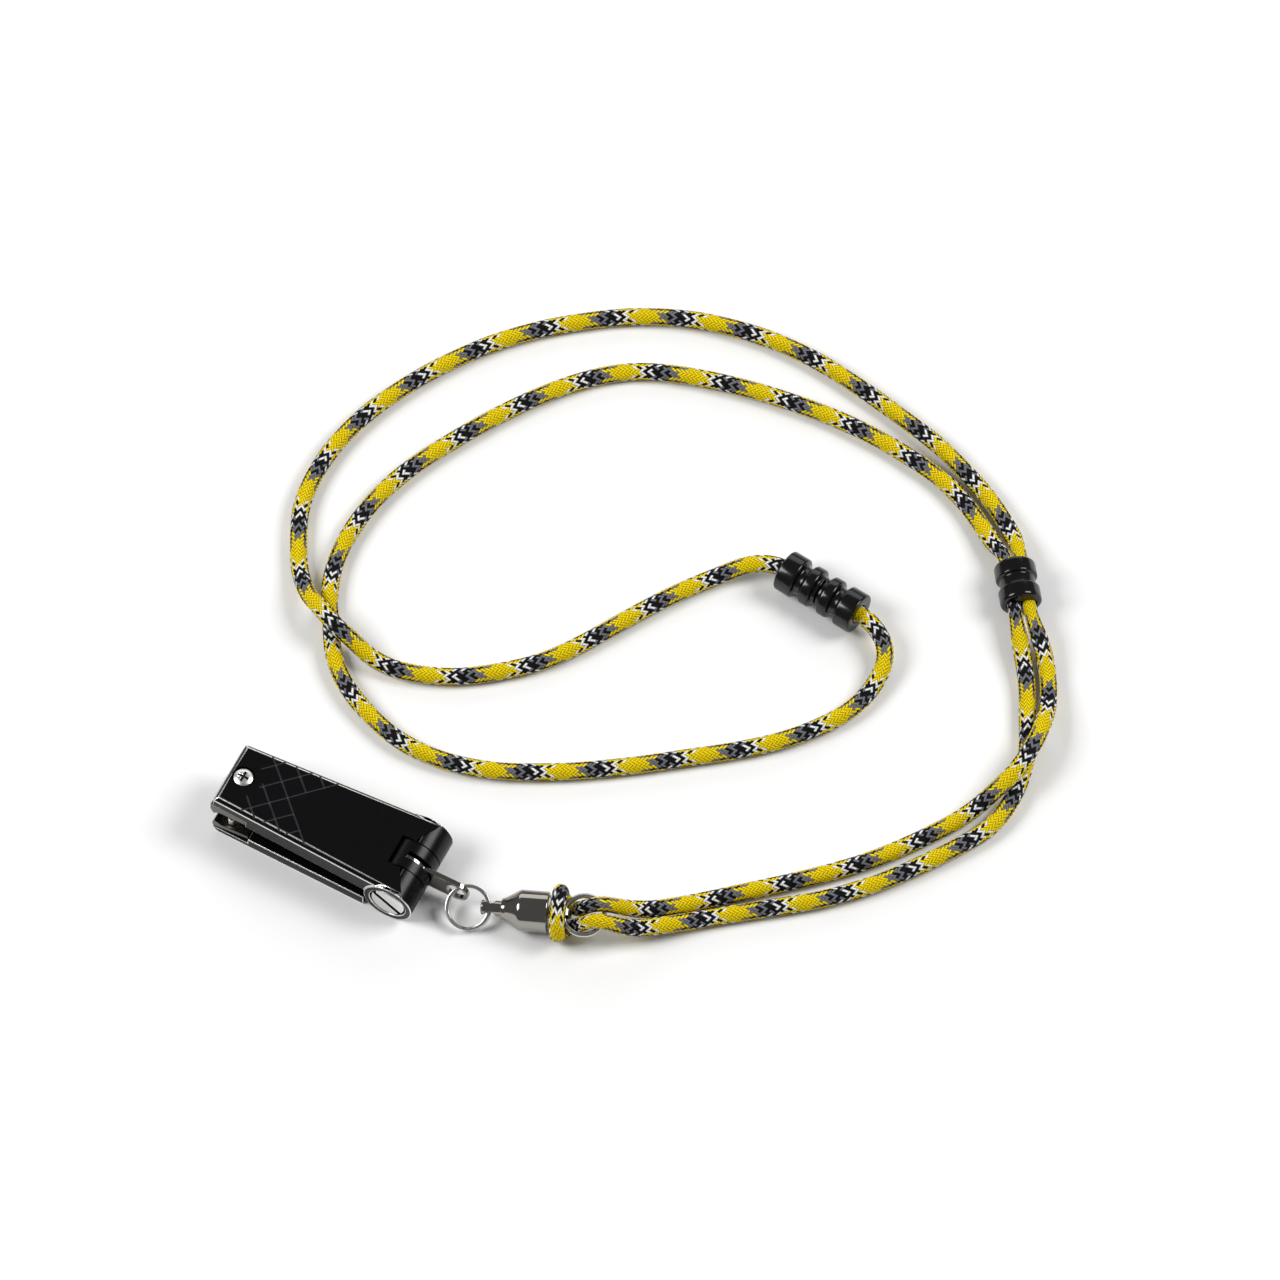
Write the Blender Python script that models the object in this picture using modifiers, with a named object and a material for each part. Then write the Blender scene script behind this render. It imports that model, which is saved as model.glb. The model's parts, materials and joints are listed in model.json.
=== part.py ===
"""Fishing-line nipper on a braided neck lanyard.

The nipper lies on its lower arm with its long axis along X, its jaw at -X and its hinge at +X.
A tang, a split ring and a ball-bearing swivel join it to one closed loop of cord, which carries
a slider bead and a two-part breakaway connector. The origin is on the resting surface, under the
middle of the nipper. Sizes are written in millimetres and turned to metres by MM.
"""
import math

import bmesh
import bpy
import numpy as np
from mathutils import Matrix, Vector

MM = 0.001
GAP = 0.3 * MM                     # clearance between pieces that meet

# ---- nipper: the two arms
ARM_LENGTH = 45.5 * MM             # hinge axis to the front end of either arm
JAW_WIDTH = 16.2 * MM
HINGE_WIDTH = 21.0 * MM
BARREL_RADIUS = 6.0 * MM
HINGE_X = 19.5 * MM
LOWER_THICK = 3.0 * MM
UPPER_THICK = 5.6 * MM
OPEN_ANGLE = math.radians(3.0)     # how far the upper arm stands open at rest
CLOSING_ANGLE = math.radians(3.8)  # how far it travels until the edges all but meet
EDGE_CHAMFER = 0.9 * MM
NOSE_CHAMFER = 1.1 * MM
INNER_KNUCKLES = 7.0 * MM          # width over the lower arm's two knuckles
NOTCH_REACH = 3.5 * MM             # from the hinge axis forward, in the upper arm

# ---- nipper: grip grooves on the upper arm
GROOVE_PITCH = 4.35 * MM
GROOVE_WIDTH = 0.4 * MM
GROOVE_DEPTH = 0.35 * MM
GROOVE_CROSSING = 14.7 * MM        # from the arm's front end to the point of the plain V
GROOVE_START = 4.5 * MM
GROOVE_CLEAR = 4.4 * MM            # plain circle kept round the jaw screw

# ---- nipper: hinge, jaw inserts, screws, pin and spring
SLEEVE_RADIUS = 2.5 * MM
HINGE_HEAD_RADIUS = 4.15 * MM
HINGE_HEAD_THICK = 1.8 * MM
HINGE_SHANK_RADIUS = 1.2 * MM
COIN_SLOT_WIDTH = 1.1 * MM
COIN_SLOT_DEPTH = 0.7 * MM
COIN_SLOT_TURN = math.radians(37.0)
INSERT_LENGTH = 8.8 * MM
INSERT_NOSE = 0.6 * MM             # how far the upper insert stands ahead of its arm
INSERT_THICK = 2.1 * MM
LOWER_INSERT_THICK = 1.4 * MM
INSERT_RISE = 0.2 * MM             # the lower insert's flat above the arm
EDGE_RISE = 1.1 * MM               # cutting edge above the flat of its insert
SCREW_FROM_TIP = 3.5 * MM
SCREW_HEAD_RADIUS = 2.25 * MM
SCREW_SHANK_RADIUS = 1.2 * MM
UPPER_HEAD_THICK = 1.2 * MM
LOWER_HEAD_THICK = 0.6 * MM
PIN_RADIUS = 0.9 * MM
PIN_FROM_TIP = 4.0 * MM
PIN_FROM_EDGE = 2.1 * MM
SPRING_X = 6.0 * MM
SPRING_RADIUS = 2.4 * MM
SPRING_WIRE = 0.35 * MM
SPRING_TURNS = 4
LOWER_POCKET = 1.0 * MM
UPPER_POCKET = 2.0 * MM

# ---- tang and split ring
TANG_THICK = 1.2 * MM
TANG_REACH = 12.2 * MM             # hinge axis to the ring hole
TANG_DROP = 0.8 * MM
TANG_HOLE_RADIUS = 2.35 * MM
TANG_END_RADIUS = 3.1 * MM
TANG_EYE_RADIUS = 4.9 * MM
RING_RADIUS = 4.8 * MM
RING_WIRE = 0.45 * MM
RING_PITCH = 0.96 * MM

# ---- ball-bearing swivel, measured along its axis from its rear face
LANYARD_TURN = math.radians(26.7)  # from the lanyard's own axes to the nipper's
SWIVEL_REAR = (49.1 * MM, -20.05 * MM, 5.2 * MM)
SWIVEL_TURN = math.radians(-7.0)
SWIVEL_SLOPE = math.radians(3.0)
SHELL_RADIUS = 4.7 * MM
SHELL_BARREL = 6.5 * MM
SHELL_CONE = 4.2 * MM
SHELL_MOUTH = 2.3 * MM
SHELL_WALL = 0.8 * MM
CAP_THICK = 1.2 * MM
FRONT_STEM_RADIUS = 1.75 * MM
FRONT_STEM_END = 15.4 * MM
FRONT_HOLE_AT = 13.5 * MM
FRONT_HOLE_RADIUS = 1.45 * MM
REAR_STEM_RADIUS = 1.3 * MM
REAR_EYE_AT = 3.4 * MM
REAR_EYE_RADIUS = 1.8 * MM
REAR_EYE_HOLE = 1.1 * MM
REAR_EYE_THICK = 1.6 * MM
STEM_FLANGE_RADIUS = 3.0 * MM
STEM_FLANGE_THICK = 1.0 * MM
BALL_RADIUS = 0.9 * MM
BALL_CIRCLE = 2.6 * MM
BALL_COUNT = 6
REAR_RING_RADIUS = 4.6 * MM
REAR_RING_WIRE = 0.6 * MM
REAR_RING_TILT = math.radians(12.0)

# ---- cord, bead and connector
CORD_RADIUS = 2.0 * MM
CORD_STEP = 22.0 * MM              # longest straight piece of the cord
CORD_SAG = 0.45 * MM               # how far a straight piece may stand off the curve
HITCH_SAG = 0.2 * MM
BEAD_AT = (155.5 * MM, 65.2 * MM, 5.0 * MM)
BEAD_TURN = math.radians(-81.2)
BEAD_LENGTH = 10.4 * MM
BEAD_RADIUS = 4.8 * MM
BEAD_WAIST = 4.1 * MM
BEAD_FLANGE = 3.7 * MM
BEAD_CORD_RADIUS = 1.6 * MM        # the cord is squeezed inside the bead
BEAD_CORD_APART = 3.55 * MM
BEAD_TRAVEL = 2.5 * MM             # how far the bead can slide either way along straight cord
CONNECTOR_AT = (111.0 * MM, 63.4 * MM, 5.0 * MM)
CONNECTOR_TURN = math.radians(-35.0)
CONNECTOR_LENGTH = 20.6 * MM
CONNECTOR_RADIUS = 4.9 * MM
CONNECTOR_WAIST = 3.5 * MM
CAP_LENGTH = 4.4 * MM
RIDGE_LENGTH = 3.0 * MM
WAIST_LENGTH = 1.9 * MM
SPIGOT_RADIUS = 2.5 * MM
SPIGOT_LENGTH = 3.4 * MM
CORD_END_DEPTH = 4.2 * MM          # how far each cord end goes into its half
STOPPER_RADIUS = 2.4 * MM
STOPPER_LENGTH = 2.0 * MM

PARTS = "line_nipper"
CUTTERS = "cutters"

# The cord's route, chosen by hand, in millimetres: (x, y, z) in the lanyard's own axes. Strand A
# runs from the connector's socket round the outer loop, through the bead, to the hitch.
STRAND_A = [
    (95.8, 71.4, 4.0), (88.5, 69.6, 2.6), (80.5, 66.1, 2.05),
    (69.0, 59.5, 2.05), (57.4, 52.1, 2.05), (47.0, 46.8, 2.05), (37.6, 44.2, 2.05),
    (29.5, 43.0, 2.05), (22.1, 43.2, 2.05), (14.5, 44.8, 2.1), (8.3, 47.8, 3.0), (4.2, 51.0, 4.8),
    (1.7, 52.9, 5.95), (-0.6, 55.3, 6.55), (-3.3, 59.1, 5.95), (-5.4, 62.4, 4.7), (-7.2, 67.8, 3.0),
    (-8.0, 72.8, 2.1), (-8.2, 80.0, 2.05), (-7.2, 89.1, 2.05), (-2.3, 100.5, 2.05),
    (6.6, 111.8, 2.05), (21.6, 123.5, 2.05), (38.5, 132.1, 2.05), (53.9, 136.4, 2.05),
    (69.6, 138.2, 2.05), (85.6, 136.6, 2.05), (101.4, 131.2, 2.05), (114.9, 123.1, 2.05),
    (129.5, 111.3, 2.05), (138.6, 103.0, 2.05), (144.6, 95.9, 2.05), (150.6, 87.4, 2.3),
    (155.2, 77.2, 3.6),
]
STRAND_A_FROM_BEAD = [
    (160.3, 51.6, 4.1), (161.6, 46.5, 3.0), (162.2, 41.0, 2.6), (161.9, 34.0, 3.8),
    (160.2, 27.0, 5.5), (157.6, 21.0, 6.4), (154.4, 16.0, 6.2), (150.6, 12.3, 5.1),
    (146.3, 8.9, 3.3), (141.0, 5.3, 2.1), (134.4, 1.4, 2.05), (119.3, -5.7, 2.05),
    (96.7, -12.2, 2.05), (84.5, -15.3, 2.3), (74.5, -18.2, 3.9), (67.6, -19.5, 6.0),
]
# Half of the hitch, in the swivel's axes from its rear face: (along, across, up).
HITCH_HALF = [
    (12.4, 2.0, 3.1), (9.7, 1.9, 2.0), (7.9, 1.9, 0.0), (6.5, 2.0, -1.85), (4.4, 2.75, -2.75),
    (2.55, 4.3, -1.6), (2.35, 4.8, 0.6), (2.35, 3.5, 3.1),
]
HITCH_TOP = (2.35, 0.0, 4.15)
STRAND_B_TO_BEAD = [
    (67.2, -24.2, 5.7), (74.0, -22.7, 3.8), (82.0, -20.5, 2.4), (96.7, -17.6, 2.05),
    (111.7, -14.6, 2.05), (126.8, -9.1, 2.05), (141.9, -1.0, 2.05), (149.4, 4.6, 2.05),
    (154.2, 12.2, 2.05), (156.9, 21.5, 2.05), (157.4, 32.0, 2.05), (157.2, 42.0, 2.4),
    (155.9, 51.0, 3.8),
]
STRAND_B = [
    (150.6, 76.4, 3.6), (146.0, 85.0, 2.2), (139.9, 93.3, 2.05), (133.2, 99.2, 2.05),
    (127.3, 103.5, 2.05), (116.4, 110.0, 2.05), (104.0, 115.5, 2.05), (92.0, 119.6, 2.05),
    (74.2, 123.3, 2.05), (60.6, 122.3, 2.05), (43.1, 115.2, 2.05), (25.7, 104.3, 2.05),
    (15.3, 96.1, 2.05), (7.2, 86.8, 2.05), (1.7, 76.8, 2.05), (-0.6, 68.8, 2.05),
    (-1.0, 62.8, 2.05), (-0.7, 57.3, 2.05), (-0.2, 50.7, 2.05), (1.0, 45.2, 2.05),
    (3.7, 39.4, 2.05), (7.2, 34.4, 2.05), (12.5, 28.6, 2.05), (19.0, 23.9, 2.05),
    (30.9, 19.4, 2.05), (46.9, 18.0, 2.05), (65.0, 19.3, 2.05), (83.1, 22.2, 2.05),
    (98.8, 25.4, 2.05), (113.8, 31.8, 2.05), (121.0, 38.2, 2.2), (124.9, 45.6, 3.2),
    (124.2, 52.2, 4.4),
]


# ---------------------------------------------------------------- helpers

def start():
    """Empties the scene and makes the two collections."""
    for obj in list(bpy.data.objects):
        bpy.data.objects.remove(obj, do_unlink=True)
    for name in (PARTS, CUTTERS):
        if name not in bpy.data.collections:
            bpy.context.scene.collection.children.link(bpy.data.collections.new(name))


def material(name, colour, roughness, metallic):
    """A Principled material in one colour."""
    mat = bpy.data.materials.new(name)
    mat.use_nodes = True
    shader = mat.node_tree.nodes["Principled BSDF"]
    shader.inputs["Base Color"].default_value = (*colour, 1.0)
    shader.inputs["Roughness"].default_value = roughness
    shader.inputs["Metallic"].default_value = metallic
    return mat


def empty(name, location, rotation=(0, 0, 0), parent=None):
    """A frame that pieces are parented to."""
    frame = bpy.data.objects.new(name, None)
    bpy.data.collections[PARTS].objects.link(frame)
    frame.location = location
    frame.rotation_euler = rotation
    frame.parent = parent
    return frame


def place(obj, mat=None, parent=None, cutter=False):
    """Puts a new object in its collection, with its material or as a hidden cutter."""
    for owner in list(obj.users_collection):
        owner.objects.unlink(obj)
    bpy.data.collections[CUTTERS if cutter else PARTS].objects.link(obj)
    obj.parent = parent
    if cutter:
        obj.hide_render = True
        obj.display_type = "WIRE"
    if mat:
        obj.data.materials.clear()
        obj.data.materials.append(mat)
    if obj.type == "MESH":
        obj.data.shade_smooth()
        obj.data.set_sharp_from_angle(angle=math.radians(35))
    return obj


def from_bmesh(name, shape, **where):
    mesh = bpy.data.meshes.new(name)
    shape.to_mesh(mesh)
    shape.free()
    return place(bpy.data.objects.new(name, mesh), **where)


def block(name, low, high, **where):
    """A box between two corners."""
    shape = bmesh.new()
    bmesh.ops.create_cube(shape, size=1.0)
    size = Vector(high) - Vector(low)
    middle = (Vector(high) + Vector(low)) / 2
    bmesh.ops.scale(shape, vec=size, verts=shape.verts)
    bmesh.ops.translate(shape, vec=middle, verts=shape.verts)
    return from_bmesh(name, shape, **where)


def rod(name, radius, start_at, end_at, segments=32, **where):
    """A round bar between two points."""
    run = Vector(end_at) - Vector(start_at)
    turn = Vector((0, 0, 1)).rotation_difference(run).to_matrix().to_4x4()
    middle = Matrix.Translation((Vector(start_at) + Vector(end_at)) / 2)
    shape = bmesh.new()
    bmesh.ops.create_cone(shape, cap_ends=True, segments=segments, radius1=radius, radius2=radius,
                          depth=run.length, matrix=middle @ turn)
    return from_bmesh(name, shape, **where)


def turned(name, profile, steps=32, closed=False, **where):
    """A turned piece: profile of (radius, height) down its outer side, spun about its own Z."""
    shape = bmesh.new()
    ring = [shape.verts.new((radius, 0, height)) for radius, height in profile]
    for first, second in zip(ring, ring[1:] + (ring[:1] if closed else [])):
        shape.edges.new((first, second))
    obj = from_bmesh(name, shape, **where)
    screw = obj.modifiers.new("turn", "SCREW")
    screw.steps = screw.render_steps = steps
    screw.use_merge_vertices = True
    screw.merge_threshold = 1e-6
    return obj


def outline(name, corners, low, high, mat=None, parent=None, cutter=False):
    """A flat outline in XZ, given thickness along Y between low and high."""
    curve = bpy.data.curves.new(name, "CURVE")
    curve.dimensions = "2D"
    curve.fill_mode = "BOTH"
    curve.extrude = (high - low) / 2
    line = curve.splines.new("POLY")
    line.points.add(len(corners) - 1)
    for point, (x, z) in zip(line.points, corners):
        point.co = (x, z, 0, 1)
    line.use_cyclic_u = True
    flat = bpy.data.objects.new(name + "_outline", curve)
    bpy.data.collections[PARTS].objects.link(flat)
    stand = Matrix.Translation((0, (low + high) / 2, 0)) @ Matrix.Rotation(math.radians(90), 4, "X")
    mesh = bpy.data.meshes.new_from_object(flat.evaluated_get(bpy.context.evaluated_depsgraph_get()))
    shape = bmesh.new()
    shape.from_mesh(mesh)
    bmesh.ops.remove_doubles(shape, verts=shape.verts, dist=1e-6)
    bmesh.ops.transform(shape, matrix=stand, verts=shape.verts)
    bpy.data.objects.remove(flat, do_unlink=True)
    bpy.data.meshes.remove(mesh)
    return from_bmesh(name, shape, mat=mat, parent=parent, cutter=cutter)


def tube(name, points, radii, mat, resolution=2, cyclic=False):
    """A round tube along a list of points, with its own radius at each."""
    curve = bpy.data.curves.new(name, "CURVE")
    curve.dimensions = "3D"
    curve.bevel_depth = max(radii)
    curve.bevel_resolution = resolution
    curve.use_fill_caps = True
    line = curve.splines.new("POLY")
    line.points.add(len(points) - 1)
    for point, place_at, radius in zip(line.points, points, radii):
        point.co = (*place_at, 1)
        point.radius = radius / max(radii)
    line.use_cyclic_u = cyclic
    obj = bpy.data.objects.new(name, curve)
    curve.materials.append(mat)
    bpy.data.collections[PARTS].objects.link(obj)
    return obj


def combine(target, other, operation):
    """Cuts a shape from the target, or joins one to it."""
    step = target.modifiers.new(operation.lower(), "BOOLEAN")
    step.operation = operation
    step.object = other
    step.solver = "EXACT"


def cut(target, *others):
    for other in others:
        combine(target, other, "DIFFERENCE")


def join(target, *others):
    for other in others:
        combine(target, other, "UNION")


# ---------------------------------------------------------------- nipper

def half_width(x):
    """Half of either arm's width, at a distance x from the hinge axis (negative forward)."""
    return (HINGE_WIDTH + (HINGE_WIDTH - JAW_WIDTH) * x / ARM_LENGTH) / 2


def arm_plate(name, thick, bottom, rear, mat, parent):
    """The tapered plate of an arm, in the hinge's axes."""
    shape = bmesh.new()
    bmesh.ops.create_cube(shape, size=1.0)
    for vert in shape.verts:
        vert.co.x = rear if vert.co.x > 0 else -ARM_LENGTH
        vert.co.y = math.copysign(half_width(vert.co.x), vert.co.y)
        vert.co.z = bottom + (thick if vert.co.z > 0 else 0)
    return from_bmesh(name, shape, mat=mat, parent=parent)


def chamfer(obj, width, pick):
    """Cuts the picked edges of a mesh back at 45 degrees."""
    shape = bmesh.new()
    shape.from_mesh(obj.data)
    edges = [edge for edge in shape.edges if pick((edge.verts[0].co + edge.verts[1].co) / 2)]
    bmesh.ops.bevel(shape, geom=edges, offset=width, offset_type="OFFSET", segments=1, profile=0.5,
                    affect="EDGES", material=-1)
    shape.to_mesh(obj.data)
    shape.free()


def upper_arm(hinge, black):
    """The arm that the thumb presses: its plate runs into the two outer knuckles."""
    bottom = BARREL_RADIUS - UPPER_THICK
    knuckle_clear = BARREL_RADIUS + GAP
    notch = INNER_KNUCKLES / 2 + GAP
    arm = arm_plate("upper_arm", UPPER_THICK - 0.03 * MM, bottom, 0, black, hinge)
    chamfer(arm, EDGE_CHAMFER, lambda at: at.z > BARREL_RADIUS - 0.1 * MM and at.x < -MM)
    barrel = rod("barrel_of_upper_arm", BARREL_RADIUS, (0, -HINGE_WIDTH / 2, 0),
                 (0, HINGE_WIDTH / 2, 0), 48, parent=hinge, cutter=True)
    join(arm, barrel)
    cut(arm,
        rod("upper_knuckle_clearance", knuckle_clear, (0, -notch, 0), (0, notch, 0), 48,
            parent=hinge, cutter=True),
        block("upper_notch", (-NOTCH_REACH, -notch, -BARREL_RADIUS), (9 * MM, notch, 9 * MM),
              parent=hinge, cutter=True),
        rod("upper_bore", SLEEVE_RADIUS + GAP, (0, -HINGE_WIDTH, 0), (0, HINGE_WIDTH, 0),
            parent=hinge, cutter=True))
    for side, name in ((-1, "near"), (1, "far")):
        floor = side * (HINGE_WIDTH / 2 - HINGE_HEAD_THICK - GAP)
        cut(arm, rod(f"head_recess_{name}", HINGE_HEAD_RADIUS + GAP, (0, floor, 0),
                     (0, side * HINGE_WIDTH, 0), 40, parent=hinge, cutter=True))
    screw_x = -ARM_LENGTH + SCREW_FROM_TIP
    wide = JAW_WIDTH
    cut(arm,
        block("upper_insert_seat", (-ARM_LENGTH - 5 * MM, -wide, -BARREL_RADIUS),
              (-ARM_LENGTH + INSERT_LENGTH - INSERT_NOSE + GAP, wide, bottom + INSERT_THICK + GAP),
              parent=hinge, cutter=True),
        rod("upper_screw_hole", SCREW_SHANK_RADIUS + GAP, (screw_x, 0, 0), (screw_x, 0, 10 * MM),
            24, parent=hinge, cutter=True),
        rod("upper_screw_recess", SCREW_HEAD_RADIUS + 1.3 * GAP,
            (screw_x, 0, BARREL_RADIUS - UPPER_HEAD_THICK - GAP), (screw_x, 0, 10 * MM), 32,
            parent=hinge, cutter=True),
        rod("upper_spring_pocket", SPRING_RADIUS + SPRING_WIRE + 2 * GAP,
            (SPRING_X - HINGE_X, 0, -BARREL_RADIUS), (SPRING_X - HINGE_X, 0, bottom + UPPER_POCKET),
            24, parent=hinge, cutter=True))
    for number, (first, last) in enumerate(groove_runs()):
        cut(arm, groove_cutter(f"groove_{number + 1}", first, last, hinge))
    return arm


def in_grip(x, y):
    """True where the grooved grip covers the upper arm's top; x is from the front end."""
    outside_v = x - GROOVE_CROSSING <= abs(y) + 0.01 * MM
    off_screw = math.hypot(x - SCREW_FROM_TIP, y) > GROOVE_CLEAR
    return x > GROOVE_START and outside_v and off_screw


def groove_runs():
    """End points of the grip's grooves: two families of lines at 45 degrees either way."""
    runs = []
    step = 0.1 * MM
    across = np.arange(-HINGE_WIDTH / 2, HINGE_WIDTH / 2, step)
    for lean in (-1, 1):
        for rank in range(-2, 4):
            offset = GROOVE_CROSSING + rank * GROOVE_PITCH * math.sqrt(2)
            line = [(offset + lean * y, y) for y in across]
            kept = [spot if in_grip(*spot) else None for spot in line] + [None]
            run = []
            for spot in kept:
                if spot:
                    run.append(spot)
                elif len(run) > 15:
                    runs.append((run[0], run[-1]))
                    run = []
                else:
                    run = []
    return runs


def groove_cutter(name, first, last, hinge):
    """A thin box laid along one groove, sunk GROOVE_DEPTH into the arm's top."""
    start_at = Vector((first[0] - ARM_LENGTH, first[1], 0))
    end_at = Vector((last[0] - ARM_LENGTH, last[1], 0))
    run = end_at - start_at
    half = (run.length / 2, GROOVE_WIDTH / 2, MM)
    box = block(name, [-size for size in half], half, parent=hinge, cutter=True)
    box.location = (start_at + end_at) / 2 + Vector((0, 0, BARREL_RADIUS - GROOVE_DEPTH + MM))
    box.rotation_euler.z = math.atan2(run.y, run.x)
    return box


def lower_arm(hinge, black):
    """The arm that lies on the table: its plate ends in two inner knuckles, slotted for the tang."""
    bottom = -BARREL_RADIUS
    top = bottom + LOWER_THICK
    knuckles = INNER_KNUCKLES / 2
    slot = TANG_THICK / 2 + GAP
    arm = arm_plate("lower_arm", LOWER_THICK, bottom, 0, black, hinge)
    chamfer(arm, NOSE_CHAMFER, lambda at: at.z < bottom + 0.1 * MM and at.x < -ARM_LENGTH + MM)
    barrel = rod("barrel_of_lower_arm", BARREL_RADIUS, (0, -knuckles, 0), (0, knuckles, 0), 48,
                 parent=hinge, cutter=True)
    for side, name in ((-1, "near"), (1, "far")):
        ends = sorted((side * knuckles, side * HINGE_WIDTH))
        cut(arm, block(f"rear_corner_{name}", (-BARREL_RADIUS - GAP, ends[0], bottom - MM),
                       (2 * MM, ends[1], top + MM), parent=hinge, cutter=True))
    join(arm, barrel)
    cut(arm,
        rod("lower_bore", SLEEVE_RADIUS + GAP, (0, -HINGE_WIDTH, 0), (0, HINGE_WIDTH, 0),
            parent=hinge, cutter=True),
        rod("tang_eye_clearance", TANG_EYE_RADIUS + GAP, (0, -slot, 0), (0, slot, 0), 40,
            parent=hinge, cutter=True),
        block("tang_slot", (0, -slot, bottom - MM), (9 * MM, slot, 9 * MM), parent=hinge, cutter=True),
        block("tang_slot_floor", (-TANG_EYE_RADIUS * 0.6, -slot, bottom - MM), (MM, slot, bottom + 2 * MM),
              parent=hinge, cutter=True))
    insert_floor = top + INSERT_RISE - LOWER_INSERT_THICK
    screw_x = -ARM_LENGTH + SCREW_FROM_TIP
    pin_at = stop_pin_place()
    cut(arm,
        block("lower_insert_seat", (-ARM_LENGTH - MM, -JAW_WIDTH, insert_floor - GAP),
              (-ARM_LENGTH + INSERT_LENGTH + GAP, JAW_WIDTH, top + MM), parent=hinge, cutter=True),
        rod("lower_screw_hole", SCREW_SHANK_RADIUS + GAP, (screw_x, 0, bottom - MM),
            (screw_x, 0, top + MM), 24, parent=hinge, cutter=True),
        rod("lower_screw_recess", SCREW_HEAD_RADIUS + GAP, (screw_x, 0, bottom - MM),
            (screw_x, 0, bottom + LOWER_HEAD_THICK + GAP), 32, parent=hinge, cutter=True),
        rod("pin_hole", PIN_RADIUS + GAP, (*pin_at, bottom + 0.6 * MM), (*pin_at, top + MM), 20,
            parent=hinge, cutter=True),
        rod("lower_spring_pocket", SPRING_RADIUS + SPRING_WIRE + 2 * GAP,
            (SPRING_X - HINGE_X, 0, top - LOWER_POCKET), (SPRING_X - HINGE_X, 0, top + MM),
            24, parent=hinge, cutter=True))
    return arm


def stop_pin_place():
    x = -ARM_LENGTH + PIN_FROM_TIP
    return x, -half_width(x) + PIN_FROM_EDGE


def jaw_inserts(hinge, tilted, steel):
    """Two hardened steel blades with their edges ahead of the arms."""
    bottom = BARREL_RADIUS - UPPER_THICK
    rear = -ARM_LENGTH + INSERT_LENGTH - INSERT_NOSE
    front = -ARM_LENGTH - INSERT_NOSE
    edge = front + 0.8 * MM
    low = bottom - 0.2 * MM
    wide = half_width(-ARM_LENGTH) - 0.1 * MM
    upper = outline("upper_jaw", [
        (rear, bottom + INSERT_THICK), (front, bottom + INSERT_THICK), (front, bottom + 0.2 * MM),
        (edge, low - EDGE_RISE), (edge + 1.5 * MM, low), (rear, low)], -wide, wide, steel, tilted)
    top = -BARREL_RADIUS + LOWER_THICK + INSERT_RISE
    floor = top - LOWER_INSERT_THICK
    lower_rear = -ARM_LENGTH + INSERT_LENGTH
    lower = outline("lower_jaw", [
        (lower_rear, top), (edge + 1.7 * MM, top), (edge + 0.1 * MM, top + EDGE_RISE - 0.15 * MM),
        (edge - 0.4 * MM, top - 0.3 * MM), (-ARM_LENGTH, floor), (lower_rear, floor)],
        -wide, wide, steel, hinge)
    screw_x = -ARM_LENGTH + SCREW_FROM_TIP
    pin_at = stop_pin_place()
    deep = 10 * MM
    cut(upper, rod("upper_insert_hole", SCREW_SHANK_RADIUS + GAP, (screw_x, 0, -deep),
                   (screw_x, 0, deep), 24, parent=tilted, cutter=True))
    cut(lower,
        rod("lower_insert_hole", SCREW_SHANK_RADIUS + GAP, (screw_x, 0, -deep), (screw_x, 0, deep),
            24, parent=hinge, cutter=True),
        rod("lower_insert_pin_hole", PIN_RADIUS + GAP, (*pin_at, -deep), (*pin_at, deep), 20,
            parent=hinge, cutter=True))


def cross_recess(name, head, centre, parent):
    """A Phillips recess: two short slots across a screw head."""
    reach, half, deep = 1.3 * MM, 0.28 * MM, 0.5 * MM
    for turn in (0, 1):
        size = (half, reach, deep) if turn else (reach, half, deep)
        middle = Vector(centre)
        low = middle - Vector(size)
        high = middle + Vector(size)
        cut(head, block(f"{name}_{turn}", low, high, parent=parent, cutter=True))


def jaw_screws(hinge, tilted, nickel):
    """One cross-head screw holds each insert."""
    screw_x = -ARM_LENGTH + SCREW_FROM_TIP
    top = BARREL_RADIUS
    seat = top - UPPER_HEAD_THICK
    end = BARREL_RADIUS - UPPER_THICK + GAP
    upper = turned("upper_jaw_screw", [
        (0, top + 0.15 * MM), (SCREW_HEAD_RADIUS * 0.6, top + 0.1 * MM),
        (SCREW_HEAD_RADIUS, top - 0.25 * MM), (SCREW_HEAD_RADIUS, seat),
        (SCREW_SHANK_RADIUS, seat), (SCREW_SHANK_RADIUS, end), (0, end)], 28, mat=nickel, parent=tilted)
    upper.location.x = screw_x
    cross_recess("upper_cross", upper, (screw_x, 0, top + 0.15 * MM), tilted)
    bottom = -BARREL_RADIUS + 0.1 * MM
    seat = bottom + LOWER_HEAD_THICK - 0.1 * MM
    end = -BARREL_RADIUS + LOWER_THICK - GAP
    lower = turned("lower_jaw_screw", [
        (0, end), (SCREW_SHANK_RADIUS, end), (SCREW_SHANK_RADIUS, seat), (SCREW_HEAD_RADIUS, seat),
        (SCREW_HEAD_RADIUS, bottom), (0, bottom)], 28, mat=nickel, parent=hinge)
    lower.location.x = screw_x


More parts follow.
